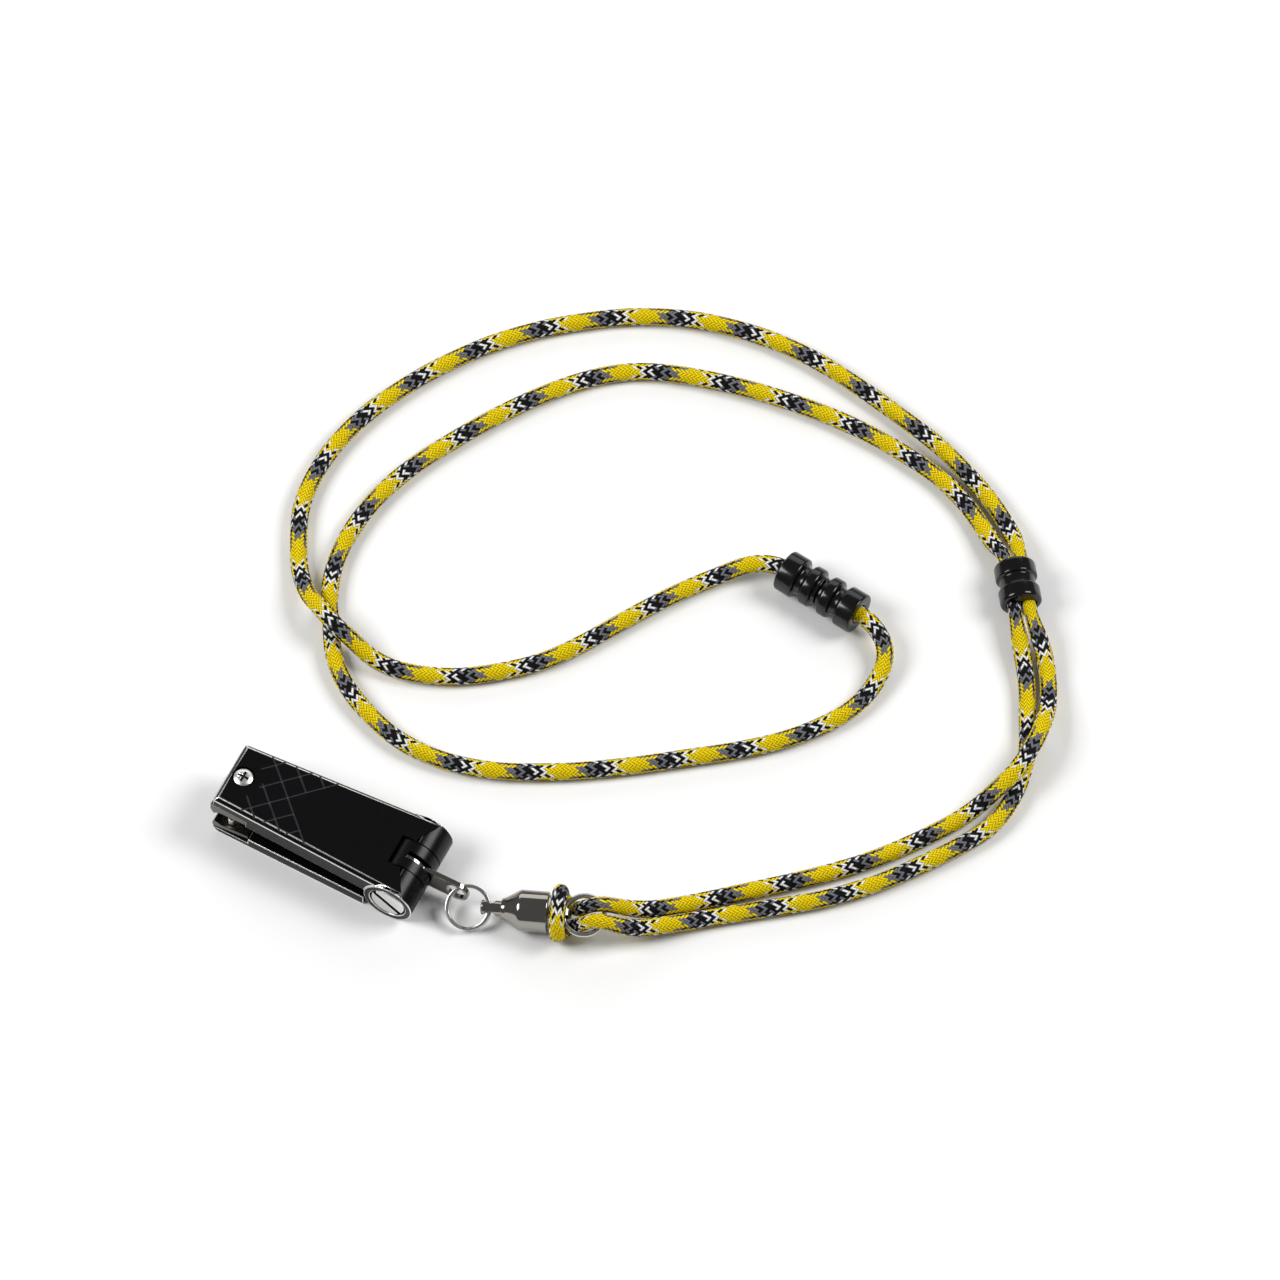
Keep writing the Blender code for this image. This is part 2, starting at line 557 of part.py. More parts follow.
def hinge_hardware(hinge, nickel):
    """A slotted screw from the near side, and a sleeve nut that all the knuckles turn on."""
    face = HINGE_WIDTH / 2
    seat = face - HINGE_HEAD_THICK
    bore = HINGE_SHANK_RADIUS + GAP
    nut = turned("hinge_nut", [
        (0, face), (HINGE_HEAD_RADIUS - 0.3 * MM, face), (HINGE_HEAD_RADIUS, face - 0.3 * MM),
        (HINGE_HEAD_RADIUS, seat), (SLEEVE_RADIUS, seat), (SLEEVE_RADIUS, GAP - seat),
        (bore, GAP - seat), (bore, seat - 1.5 * MM), (0, seat - 1.5 * MM)], mat=nickel, parent=hinge)
    nut.rotation_euler.x = math.radians(-90)
    screw = turned("hinge_screw", [
        (0, seat - 2.2 * MM), (HINGE_SHANK_RADIUS, seat - 2.2 * MM), (HINGE_SHANK_RADIUS, -seat),
        (HINGE_HEAD_RADIUS, -seat), (HINGE_HEAD_RADIUS, 0.3 * MM - face),
        (HINGE_HEAD_RADIUS - 0.3 * MM, -face), (0, -face)], mat=nickel, parent=hinge)
    screw.rotation_euler.x = math.radians(-90)
    half = (BARREL_RADIUS, COIN_SLOT_DEPTH, COIN_SLOT_WIDTH / 2)
    for side, owner, name in ((-1, screw, "screw"), (1, nut, "nut")):
        slot = block(f"slot_of_hinge_{name}", [-size for size in half], half, parent=hinge, cutter=True)
        slot.location.y = side * face
        slot.rotation_euler.y = COIN_SLOT_TURN
        cut(owner, slot)


def stop_pin(hinge, steel):
    """A pin that stands in the lower arm and stops the arms before the edges are crushed."""
    at = stop_pin_place()
    underside = BARREL_RADIUS - UPPER_THICK - 0.2 * MM
    closed = OPEN_ANGLE - CLOSING_ANGLE
    top = underside * math.cos(closed) - at[0] * math.sin(closed) - GAP
    foot = -BARREL_RADIUS + 0.9 * MM
    rod("stop_pin", PIN_RADIUS, (*at, foot), (*at, top), 20, mat=steel, parent=hinge)


def spring(steel):
    """The coil that holds the arms apart, seated in a pocket in each."""
    away = HINGE_X - SPRING_X
    low = LOWER_THICK - LOWER_POCKET + GAP + SPRING_WIRE
    ceiling = (BARREL_RADIUS + (BARREL_RADIUS - UPPER_THICK + UPPER_POCKET) * math.cos(OPEN_ANGLE)
               + (away - SPRING_RADIUS - SPRING_WIRE) * math.sin(OPEN_ANGLE))
    high = ceiling - GAP - SPRING_WIRE
    count = SPRING_TURNS * 14
    points = []
    for number in range(count + 1):
        turn = 2 * math.pi * number / 14
        rise = low + (high - low) * number / count
        points.append((SPRING_X + SPRING_RADIUS * math.cos(turn), SPRING_RADIUS * math.sin(turn), rise))
    tube("spring", points, [SPRING_WIRE] * len(points), steel, 1)


# ---------------------------------------------------------------- tang and split ring

def tang(hinge, nickel):
    """A plate between the lower arm's knuckles, with an eye at each end."""
    end = Vector((TANG_REACH, -TANG_DROP))
    run = math.atan2(end.y, end.x)
    swing = math.radians(90)
    corners = []
    for number in range(13):
        angle = run - swing + 2 * swing * number / 12
        corners.append((end.x + TANG_END_RADIUS * math.cos(angle),
                        end.y + TANG_END_RADIUS * math.sin(angle)))
    neck = math.asin(TANG_END_RADIUS / TANG_EYE_RADIUS)
    for number in range(21):
        angle = run + neck + (2 * math.pi - 2 * neck) * number / 20
        corners.append((TANG_EYE_RADIUS * math.cos(angle), TANG_EYE_RADIUS * math.sin(angle)))
    plate = outline("lanyard_tang", corners, -TANG_THICK / 2, TANG_THICK / 2, nickel, hinge)
    wide = 5 * MM
    cut(plate,
        rod("tang_bore", SLEEVE_RADIUS + GAP, (0, -wide, 0), (0, wide, 0), parent=hinge, cutter=True),
        rod("tang_ring_hole", TANG_HOLE_RADIUS, (end.x, -wide, end.y), (end.x, wide, end.y), 24,
            parent=hinge, cutter=True))


def tang_hole():
    return Vector((HINGE_X + TANG_REACH, 0, BARREL_RADIUS - TANG_DROP))


def split_ring_frame(front_hole):
    """Centre, normal and the ring's directions, from the two holes that it passes through."""
    hole = tang_hole()
    chord = front_hole - hole
    along = chord.normalized()
    aside = Vector((0, -0.88, -0.47))
    aside = (aside - aside.dot(along) * along).normalized()
    reach = math.sqrt(RING_RADIUS ** 2 - (chord.length / 2) ** 2)
    centre = (front_hole + hole) / 2 + aside * reach
    return centre, along, aside


def split_ring(front_hole, steel):
    """Two turns of spring wire, lying side by side."""
    centre, along, aside = split_ring_frame(front_hole)
    normal = along.cross(aside)
    count = 28
    points = []
    for number in range(2 * count - 1):
        angle = math.radians(75) + 2 * math.pi * number / count
        rise = (number / count - 1) * RING_PITCH
        points.append(centre + RING_RADIUS * (math.cos(angle) * along + math.sin(angle) * aside)
                      + rise * normal)
    tube("split_ring", points, [RING_WIRE] * len(points), steel, 1)


# ---------------------------------------------------------------- swivel

def lanyard_point(x, y, z):
    """A point given in the lanyard's own axes, in the nipper's."""
    return Matrix.Rotation(LANYARD_TURN, 3, "Z") @ Vector((x, y, z))


def swivel_matrix():
    turn = Matrix.Rotation(LANYARD_TURN + SWIVEL_TURN, 4, "Z")
    return (Matrix.Translation(lanyard_point(*SWIVEL_REAR)) @ turn
            @ Matrix.Rotation(-SWIVEL_SLOPE, 4, "Y"))


def front_hole_tilt(frame):
    """How far the front hole is turned about the swivel's axis, to follow the ring's wire."""
    hole = frame @ Vector((-FRONT_HOLE_AT, 0, 0))
    centre, along, aside = split_ring_frame(hole)
    wire = along.cross(aside).cross(hole - centre)
    local = frame.to_3x3().transposed() @ wire
    if local.y < 0:
        local = -local
    return math.atan2(local.z, local.y)


def front_stem(flange_at, mat, frame):
    """A round stem with a flange inside the shell and a cross hole near its flat front end."""
    tip = -FRONT_STEM_END
    back = flange_at + STEM_FLANGE_THICK
    stem = turned("swivel_front_stem", [
        (0, back), (STEM_FLANGE_RADIUS, back), (STEM_FLANGE_RADIUS, flange_at),
        (FRONT_STEM_RADIUS, flange_at), (FRONT_STEM_RADIUS, tip + 0.3 * MM),
        (FRONT_STEM_RADIUS - 0.3 * MM, tip), (0, tip)], 28, mat=mat, parent=frame)
    stem.rotation_euler.y = math.radians(90)
    tilt = front_hole_tilt(swivel_matrix())
    across = 3 * MM * Vector((0, math.cos(tilt), math.sin(tilt)))
    middle = Vector((-FRONT_HOLE_AT, 0, 0))
    cut(stem, rod("front_cross_hole", FRONT_HOLE_RADIUS, middle - across, middle + across, 24,
                  parent=frame, cutter=True))


def rear_stem(flange_at, mat, frame):
    """A stem with a flange inside the shell and a flat eye behind it for the rear ring."""
    neck = REAR_EYE_AT - REAR_EYE_RADIUS * 0.85
    front = flange_at - STEM_FLANGE_THICK
    stem = turned("swivel_rear_stem", [
        (0, neck), (REAR_STEM_RADIUS, neck), (REAR_STEM_RADIUS, flange_at),
        (STEM_FLANGE_RADIUS, flange_at), (STEM_FLANGE_RADIUS, front), (0, front)], 24, mat=mat,
        parent=frame)
    stem.rotation_euler.y = math.radians(90)
    across = Vector((0, math.cos(REAR_RING_TILT), math.sin(REAR_RING_TILT)))
    middle = Vector((REAR_EYE_AT, 0, 0))
    half = across * REAR_EYE_THICK / 2
    join(stem, rod("rear_eye", REAR_EYE_RADIUS, middle - half, middle + half, 24, parent=frame,
                   cutter=True))
    cut(stem, rod("rear_eye_hole", REAR_EYE_HOLE, middle - 4 * half, middle + 4 * half, 20,
                  parent=frame, cutter=True))


def swivel(frame, nickel, steel):
    """Shell, crimped cap, two stems and the balls that run between their flanges."""
    inner = SHELL_RADIUS - SHELL_WALL
    mouth = FRONT_STEM_RADIUS + GAP
    barrel_front = -SHELL_BARREL
    nose = -SHELL_BARREL - SHELL_CONE
    floor = barrel_front - 0.2 * MM
    rim = 0.3 * MM
    shell = turned("swivel_shell", [
        (SHELL_RADIUS - rim, 0), (SHELL_RADIUS, -rim), (SHELL_RADIUS, barrel_front),
        (SHELL_RADIUS - 0.45 * MM, barrel_front - 0.8 * MM), (SHELL_MOUTH + 0.35 * MM, nose + 0.9 * MM),
        (SHELL_MOUTH, nose), (mouth, nose), (mouth, floor), (inner, floor), (inner, 0)],
        closed=True, mat=nickel, parent=frame)
    shell.rotation_euler.y = math.radians(90)
    hole = REAR_STEM_RADIUS + GAP
    cap = turned("swivel_end_cap", [
        (inner - GAP, 0), (inner - GAP, -CAP_THICK), (hole, -CAP_THICK), (hole, 0)],
        closed=True, mat=nickel, parent=frame)
    cap.rotation_euler.y = math.radians(90)
    front_flange = floor + GAP
    rear_flange = -CAP_THICK - GAP
    front_stem(front_flange, nickel, frame)
    rear_stem(rear_flange, nickel, frame)
    ball_x = (front_flange + rear_flange) / 2
    for number in range(BALL_COUNT):
        angle = 2 * math.pi * number / BALL_COUNT
        shape = bmesh.new()
        bmesh.ops.create_uvsphere(shape, u_segments=10, v_segments=6, radius=BALL_RADIUS)
        ball = from_bmesh(f"swivel_ball_{number + 1}", shape, mat=steel, parent=frame)
        ball.location = (ball_x, BALL_CIRCLE * math.cos(angle), BALL_CIRCLE * math.sin(angle))


def rear_ring(frame, steel):
    """The round ring that the lanyard is hitched to."""
    bpy.ops.mesh.primitive_torus_add(major_segments=36, minor_segments=10,
                                     major_radius=REAR_RING_RADIUS, minor_radius=REAR_RING_WIRE)
    ring = place(bpy.context.object, steel, frame)
    ring.name = "swivel_ring"
    ring.location = (REAR_EYE_AT + REAR_RING_RADIUS, 0, 0)
    ring.rotation_euler = (REAR_RING_TILT, 0, 0)


# ---------------------------------------------------------------- bead and connector

def slider_bead(black):
    """A spool-shaped bead with one flat slot for both strands."""
    frame = empty("bead_frame", lanyard_point(*BEAD_AT), (0, 0, LANYARD_TURN + BEAD_TURN))
    half = BEAD_LENGTH / 2
    waist = half - BEAD_FLANGE
    rim = 0.6 * MM
    bead = turned("slider_bead", [
        (0, half), (BEAD_RADIUS - rim, half), (BEAD_RADIUS, half - rim), (BEAD_RADIUS, waist + rim / 2),
        (BEAD_WAIST, waist - rim / 2), (BEAD_WAIST, rim / 2 - waist), (BEAD_RADIUS, -waist - rim / 2),
        (BEAD_RADIUS, rim - half), (BEAD_RADIUS - rim, -half), (0, -half)], mat=black, parent=frame)
    bead.rotation_euler.y = math.radians(90)
    bore = BEAD_CORD_RADIUS + GAP
    side = BEAD_CORD_APART / 2
    hole = rod("bead_slot", bore, (-half - MM, -side, 0), (half + MM, -side, 0), 20,
               parent=frame, cutter=True)
    second = rod("bead_slot_far", bore, (-half - MM, side, 0), (half + MM, side, 0), 20,
                 parent=frame, cutter=True)
    middle = block("bead_slot_middle", (-half - MM, -side, 0.02 * MM - bore),
                   (half + MM, side, bore - 0.02 * MM), parent=frame, cutter=True)
    cut(bead, hole, second, middle)
    return bead


def connector(black, nylon):
    """Two turned halves that pull apart under load; each holds one end of the cord."""
    frame = empty("connector_frame", lanyard_point(*CONNECTOR_AT), (0, 0, LANYARD_TURN + CONNECTOR_TURN))
    half = CONNECTOR_LENGTH / 2
    cord_bore = CORD_RADIUS + GAP
    chamber = STOPPER_RADIUS + GAP
    wide, waist, rim = CONNECTOR_RADIUS, CONNECTOR_WAIST, 0.5 * MM
    cap = half - CAP_LENGTH
    ridge = cap - WAIST_LENGTH
    foot = ridge - RIDGE_LENGTH
    outer = [(wide - rim, half), (wide, half - rim), (wide, cap + 0.3 * MM), (waist, cap - 0.3 * MM),
             (waist, ridge + 0.2 * MM), (wide - 0.2 * MM, ridge - 0.5 * MM),
             (wide - 0.2 * MM, foot + 0.5 * MM), (waist, foot - 0.2 * MM), (waist, GAP / 2)]
    shoulder = half - CORD_END_DEPTH
    pocket = shoulder - STOPPER_LENGTH - 2 * GAP
    plug = turned("connector_plug", outer + [
        (SPIGOT_RADIUS, GAP / 2), (SPIGOT_RADIUS, 0.4 * MM - SPIGOT_LENGTH),
        (SPIGOT_RADIUS - 0.4 * MM, -SPIGOT_LENGTH), (0, -SPIGOT_LENGTH), (0, pocket),
        (chamber, pocket), (chamber, shoulder), (cord_bore, shoulder), (cord_bore, half)],
        closed=True, steps=28, mat=black, parent=frame)
    plug.rotation_euler.y = math.radians(90)
    bore = SPIGOT_RADIUS + GAP
    deep = SPIGOT_LENGTH + GAP
    socket = turned("connector_socket", outer + [
        (bore, GAP / 2), (bore, deep), (chamber, deep + 0.1 * MM), (chamber, shoulder),
        (cord_bore, shoulder), (cord_bore, half)], closed=True, steps=28, mat=black, parent=frame)
    socket.rotation_euler.y = math.radians(-90)
    for side, name in ((-1, "a"), (1, "b")):
        stopper_start = side * (shoulder - GAP)
        rod(f"cord_stopper_{name}", STOPPER_RADIUS, (stopper_start, 0, 0),
            (stopper_start - side * STOPPER_LENGTH, 0, 0), 20, mat=nylon, parent=frame)


# ---------------------------------------------------------------- cord

def bead_passage(side):
    """Points of a strand through the bead, straight for a little way beyond both its ends."""
    frame = Matrix.Translation(Vector(BEAD_AT)) @ Matrix.Rotation(BEAD_TURN, 4, "Z")
    reach = BEAD_LENGTH / 2 + BEAD_TRAVEL
    return [frame @ Vector((along, side * BEAD_CORD_APART / 2, 0))
            for along in (-reach, -reach / 2, 0, reach / 2, reach)]


def connector_passage(side):
    """Points of the cord inside one half of the connector, out to just past its mouth."""
    frame = Matrix.Translation(Vector(CONNECTOR_AT)) @ Matrix.Rotation(CONNECTOR_TURN, 4, "Z")
    mouth = CONNECTOR_LENGTH / 2
    return [frame @ Vector((side * along, 0, 0))
            for along in (mouth - CORD_END_DEPTH, mouth - CORD_END_DEPTH / 2, mouth, mouth + 1.5 * MM)]


def route():
    """The cord's whole centreline points in the nipper's axes, from the socket to the plug."""
    swivel_frame = swivel_matrix()
    tilt = Matrix.Rotation(REAR_RING_TILT, 4, "X")

    def lanyard(points):
        return [lanyard_point(*(MM * value for value in point)) for point in points]

    def knot(points):
        return [swivel_frame @ tilt @ (MM * Vector(point)) for point in points]

    near_a = [lanyard_point(*point) for point in bead_passage(1)]
    near_b = [lanyard_point(*point) for point in reversed(bead_passage(-1))]
    socket_end = [lanyard_point(*point) for point in connector_passage(-1)]
    plug_end = [lanyard_point(*point) for point in reversed(connector_passage(1))]
    other_half = [(along, -across, up) for along, across, up in reversed(HITCH_HALF)]
    return (socket_end + lanyard(STRAND_A) + near_a + lanyard(STRAND_A_FROM_BEAD) + knot(HITCH_HALF)
            + knot([HITCH_TOP]) + knot(other_half) + lanyard(STRAND_B_TO_BEAD) + near_b
            + lanyard(STRAND_B) + plug_end)


def smooth_curve(points):
    """The natural cubic spline through the given points, with the run along it."""
    knots = np.array([tuple(point) for point in points])
    gaps = np.sqrt(np.linalg.norm(np.diff(knots, axis=0), axis=1))
    at = np.concatenate([[0.0], np.cumsum(gaps)])
    count = len(knots)
    system = np.zeros((count, count))
    right = np.zeros((count, 3))
    system[0, 0] = system[-1, -1] = 1.0
    for row in range(1, count - 1):
        before, after = gaps[row - 1], gaps[row]
        system[row, row - 1:row + 2] = before, 2 * (before + after), after
        right[row] = 6 * ((knots[row + 1] - knots[row]) / after - (knots[row] - knots[row - 1]) / before)
    bend = np.linalg.solve(system, right)
    fine = np.linspace(0, at[-1], 4000)
    span = np.clip(np.searchsorted(at, fine, side="right") - 1, 0, count - 2)
    width = gaps[span][:, None]
    ahead = (fine - at[span])[:, None]
    behind = width - ahead
    curve = (bend[span] * behind ** 3 / (6 * width) + bend[span + 1] * ahead ** 3 / (6 * width)
             + (knots[span] / width - bend[span] * width / 6) * behind
             + (knots[span + 1] / width - bend[span + 1] * width / 6) * ahead)
    curve[:, 2] = np.maximum(curve[:, 2], CORD_RADIUS + 0.05 * MM)
    run = np.concatenate([[0.0], np.cumsum(np.linalg.norm(np.diff(curve, axis=0), axis=1))])
    return curve, run


def spaced_points(curve, run, marks, sag):
    """Points on the curve: one at every mark, and between them closer where it bends more."""
    spots = np.arange(0, run[-1], 0.5 * MM)
    path = np.stack([np.interp(spots, run, curve[:, axis]) for axis in range(3)], axis=1)
    heading = np.gradient(path, spots, axis=0)
    bend = np.linalg.norm(np.gradient(heading, spots, axis=0), axis=1)
    crowding = np.maximum(1 / CORD_STEP, np.sqrt(bend / (8 * sag)))
    total = np.concatenate([[0.0], np.cumsum((crowding[1:] + crowding[:-1]) / 2 * np.diff(spots))])
    chosen = [marks[0]]
    for low, high in zip(marks, marks[1:]):
        ends = np.interp((low, high), spots, total)
        count = max(1, math.ceil(ends[1] - ends[0]))
        chosen += list(np.interp(np.linspace(*ends, count + 1)[1:-1], total, spots)) + [high]
    return [tuple(np.interp(spot, run, curve[:, axis]) for axis in range(3)) for spot in chosen]


def nearest_run(curve, run, point):
    """How far along the curve it comes closest to a point."""
    return run[np.argmin(np.linalg.norm(curve - np.array(tuple(point)), axis=1))]


def cord_radius(point):
    """The cord's radius: squeezed in the bead and where it turns through the rear ring."""
    bead = lanyard_point(*BEAD_AT)
    ring = swivel_matrix() @ Vector((REAR_EYE_AT + REAR_RING_RADIUS, 0, 0))
    in_bead = min(1.0, max(0.0, ((Vector(point) - bead).length - BEAD_LENGTH / 2 - BEAD_TRAVEL - MM)
                                / (5 * MM)))
    in_ring = min(1.0, max(0.0, ((Vector(point) - ring).length - REAR_RING_RADIUS) / (8 * MM)))
    squeezed = CORD_RADIUS - (CORD_RADIUS - BEAD_CORD_RADIUS) * (1 - in_bead)
    return min(squeezed, CORD_RADIUS - 0.3 * MM * (1 - in_ring))


def cord(braid):
    """The cord in three nodes that meet end to end: strand A, the hitch and strand B."""
    curve, run = smooth_curve(route())
    ring = np.array(swivel_matrix() @ Vector((REAR_EYE_AT + REAR_RING_RADIUS, 0, 0)))
    near = np.nonzero(np.linalg.norm(curve - ring, axis=1) < 10.5 * MM)[0]
    first, last = run[near[0]], run[near[-1]]
    doors = {}
    for side in (1, -1):
        ends = [nearest_run(curve, run, lanyard_point(*point)) for point in bead_passage(side)]
        doors[side] = [min(ends), max(ends)]
    mouth = CORD_END_DEPTH + 1.5 * MM
    meet = 2 * MM
    gap = GAP
    pieces = (
        ("cord_strand_a", [0, mouth, *doors[1], first - meet, first - gap], CORD_SAG),
        ("cord_hitch", [first + gap, first + meet, last - meet, last - gap], HITCH_SAG),
        ("cord_strand_b", [last + gap, last + meet, *doors[-1], run[-1] - mouth, run[-1]], CORD_SAG))
    for name, marks, sag in pieces:
        points = spaced_points(curve, run, marks, sag)
        tube(name, points, [cord_radius(point) for point in points], braid)


# ---------------------------------------------------------------- assembly

def main():
    start()
    black = material("black_anodised_aluminium", (0.012, 0.012, 0.013), 0.3, 0.9)
    steel = material("tool_steel", (0.5, 0.5, 0.48), 0.3, 1.0)
    nickel = material("nickel_plate", (0.75, 0.73, 0.7), 0.15, 1.0)
    plastic = material("black_acetal", (0.01, 0.01, 0.011), 0.25, 0.0)
    nylon = material("melted_nylon", (0.35, 0.32, 0.1), 0.5, 0.0)
    braid = material("braided_nylon", (0.6, 0.5, 0.05), 0.8, 0.0)

    hinge = empty("hinge_axis", (HINGE_X, 0, BARREL_RADIUS))
    tilted = empty("upper_arm_tilt", (0, 0, 0), (0, OPEN_ANGLE, 0), hinge)
    upper_arm(tilted, black)
    lower_arm(hinge, black)
    jaw_inserts(hinge, tilted, steel)
    jaw_screws(hinge, tilted, nickel)
    hinge_hardware(hinge, nickel)
    stop_pin(hinge, steel)
    spring(steel)
    tang(hinge, nickel)

    swivel_axis = empty("swivel_axis", (0, 0, 0))
    swivel_axis.matrix_world = swivel_matrix()
    split_ring(swivel_matrix() @ Vector((-FRONT_HOLE_AT, 0, 0)), steel)
    swivel(swivel_axis, nickel, steel)
    rear_ring(swivel_axis, steel)
    slider_bead(plastic)
    connector(plastic, nylon)
    cord(braid)


main()
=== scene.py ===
import json
import math

import bmesh
import bpy
import numpy as np
from bpy.props import FloatProperty, FloatVectorProperty, IntProperty, PointerProperty
from mathutils import Matrix, Vector


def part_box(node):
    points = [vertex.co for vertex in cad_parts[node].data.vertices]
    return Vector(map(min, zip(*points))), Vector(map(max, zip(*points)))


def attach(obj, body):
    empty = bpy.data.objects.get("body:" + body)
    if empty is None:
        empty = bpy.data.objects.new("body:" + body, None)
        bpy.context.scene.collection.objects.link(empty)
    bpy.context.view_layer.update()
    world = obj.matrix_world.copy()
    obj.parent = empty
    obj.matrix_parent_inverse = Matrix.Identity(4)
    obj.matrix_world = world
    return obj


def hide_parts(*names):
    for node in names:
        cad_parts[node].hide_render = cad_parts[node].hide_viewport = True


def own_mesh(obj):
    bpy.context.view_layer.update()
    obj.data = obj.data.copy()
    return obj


bl_info = {
    "name": "Line Nipper on a Neck Cord",
    "version": (1, 0, 0),
    "blender": (4, 5, 0),
    "location": "View3D > Sidebar > Nipper",
    "description": "Builds the finished line nipper, swivel and braided neck cord round their frame",
    "category": "Object",
}

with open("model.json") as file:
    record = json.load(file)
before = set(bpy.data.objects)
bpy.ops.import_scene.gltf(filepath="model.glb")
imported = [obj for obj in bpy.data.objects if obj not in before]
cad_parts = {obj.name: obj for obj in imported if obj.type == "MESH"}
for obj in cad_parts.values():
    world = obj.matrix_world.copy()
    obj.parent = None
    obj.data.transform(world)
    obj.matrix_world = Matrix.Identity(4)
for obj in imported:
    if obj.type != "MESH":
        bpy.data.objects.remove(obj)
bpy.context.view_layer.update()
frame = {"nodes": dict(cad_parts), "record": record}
JOINTS = {joint["name"]: joint for joint in frame["record"]["behaviour"]["joints"]}
MM = 0.001

# ---- sizes that the frame's pieces share, in metres
LANYARD_TURN = math.radians(26.7)     # from the lanyard's own axes to the nipper's
ARM_LENGTH = 45.5 * MM
BARREL_RADIUS = 6.0 * MM
NOTCH_REACH = 3.5 * MM
NOTCH_HALF = 3.8 * MM
OPEN_ANGLE = math.radians(3.0)
GROOVE_DEPTH = 0.35 * MM
SCREW_AT = -42.0 * MM
SHELL_RADIUS = 4.7 * MM
SHELL_BARREL = 6.5 * MM
SHELL_CONE = 4.2 * MM
SHELL_MOUTH = 2.3 * MM
SHELL_BORE = 2.05 * MM
SHELL_INNER = 3.9 * MM
END_CAP_RADIUS = 3.6 * MM
END_CAP_THICK = 1.2 * MM
END_CAP_HOLE = 1.6 * MM
REAR_EYE_AT = 3.4 * MM
REAR_RING_TILT = math.radians(12.0)
REAR_RING_WIRE = 0.6 * MM
TANG_HOLE = Vector((31.7 * MM, 0, 5.2 * MM))
RING_PITCH = 0.96 * MM
FRONT_HOLE_AT = 13.5 * MM
BEAD_AT = (155.5 * MM, 65.2 * MM, 5.0 * MM)
BEAD_TURN = math.radians(-81.2)
BEAD_CORD_RADIUS = 1.6 * MM
BEAD_CORD_APART = 3.55 * MM
BEAD_TRAVEL = 2.5 * MM
CONNECTOR_AT = (111.0 * MM, 63.4 * MM, 5.0 * MM)
CONNECTOR_TURN = math.radians(-35.0)
CORD_END_DEPTH = 4.2 * MM
ROWS_PER_STITCH = 4                   # rings of the cord's mesh for each stitch of its braid
WEAVE_REPEAT = 4                      # ranks in which a yarn goes over two others and under two
OVER_BELOW = 1.5                      # ranks apart below which the left-hand yarn is on top
CROWN_POWER = 2.2                     # how squarely a yarn's rounded back falls off at its sides
PLIES_PER_STITCH = 2
BEAD_FLANGE = 3.7 * MM                # length of each of the bead's two flanges
BEAD_STEP = 0.3 * MM
BEAD_ROUNDING = 0.9 * MM
BORE_PLAY = 0.3 * MM                  # between the cord and the hole that it runs through
CONNECTOR_WAIST = 3.5 * MM
CONNECTOR_CAP = 4.4 * MM
CONNECTOR_GROOVE = 1.9 * MM
CONNECTOR_RIDGE = 3.0 * MM
CONNECTOR_STEP = 0.25 * MM
CONNECTOR_SPLIT = 0.15 * MM           # half the gap between the two halves
CONNECTOR_CHAMBER = 2.7 * MM          # radius of the room for the melted end
CONNECTOR_VENT = 0.8 * MM
CHAMBER_DEPTH = 2.6 * MM
SPIGOT_RADIUS = 2.5 * MM
SPIGOT_REACH = 3.4 * MM
SPIGOT_PLAY = 0.3 * MM
CONNECTOR_ROUNDING = 0.55 * MM
SCREW_CLEAR = 3.2 * MM                # from the jaw screw's middle, where no finish changes
SPRING_WIRE = 0.35 * MM
SPRING_TURNS = 4
RING_HALF_WIDE = 0.42 * MM            # the split ring's flat wire, half across and half along
RING_HALF_TALL = 0.45 * MM
RING_ASIDE = Vector((0, -0.88, -0.47))
CAMERA_DISTANCE = 4.0
CAMERA_RISE = math.radians(60)
SENSOR_WIDTH = 36                     # millimetres
VIEW_WIDTH = 0.2909                   # metres across the frame at the model

# The cord's route in millimetres: (x, y, z) in the lanyard's own axes. Strand A runs from the
# connector's socket round the outer loop, through the bead, to the hitch.
STRAND_A = [
    (95.8, 71.4, 4.0), (88.5, 69.6, 2.6), (80.5, 66.1, 2.05),
    (69.0, 59.5, 2.05), (57.4, 52.1, 2.05), (47.0, 46.8, 2.05), (37.6, 44.2, 2.05),
    (29.5, 43.0, 2.05), (22.1, 43.2, 2.05), (14.5, 44.8, 2.1), (8.3, 47.8, 3.0), (4.2, 51.0, 4.8),
    (1.7, 52.9, 5.95), (-0.6, 55.3, 6.55), (-3.3, 59.1, 5.95), (-5.4, 62.4, 4.7), (-7.2, 67.8, 3.0),
    (-8.0, 72.8, 2.1), (-8.2, 80.0, 2.05), (-7.2, 89.1, 2.05), (-2.3, 100.5, 2.05),
    (6.6, 111.8, 2.05), (21.6, 123.5, 2.05), (38.5, 132.1, 2.05), (53.9, 136.4, 2.05),
    (69.6, 138.2, 2.05), (85.6, 136.6, 2.05), (101.4, 131.2, 2.05), (114.9, 123.1, 2.05),
    (129.5, 111.3, 2.05), (138.6, 103.0, 2.05), (144.6, 95.9, 2.05), (150.6, 87.4, 2.3),
    (155.2, 77.2, 3.6),
]
STRAND_A_FROM_BEAD = [
    (160.3, 51.6, 4.1), (161.6, 46.5, 3.0), (162.2, 41.0, 2.6), (161.9, 34.0, 3.8),
    (160.2, 27.0, 5.5), (157.6, 21.0, 6.4), (154.4, 16.0, 6.2), (150.6, 12.3, 5.1),
    (146.3, 8.9, 3.3), (141.0, 5.3, 2.1), (134.4, 1.4, 2.05), (119.3, -5.7, 2.05),
    (96.7, -12.2, 2.05), (84.5, -15.3, 2.3), (74.5, -18.2, 3.9), (67.6, -19.5, 6.0),
]
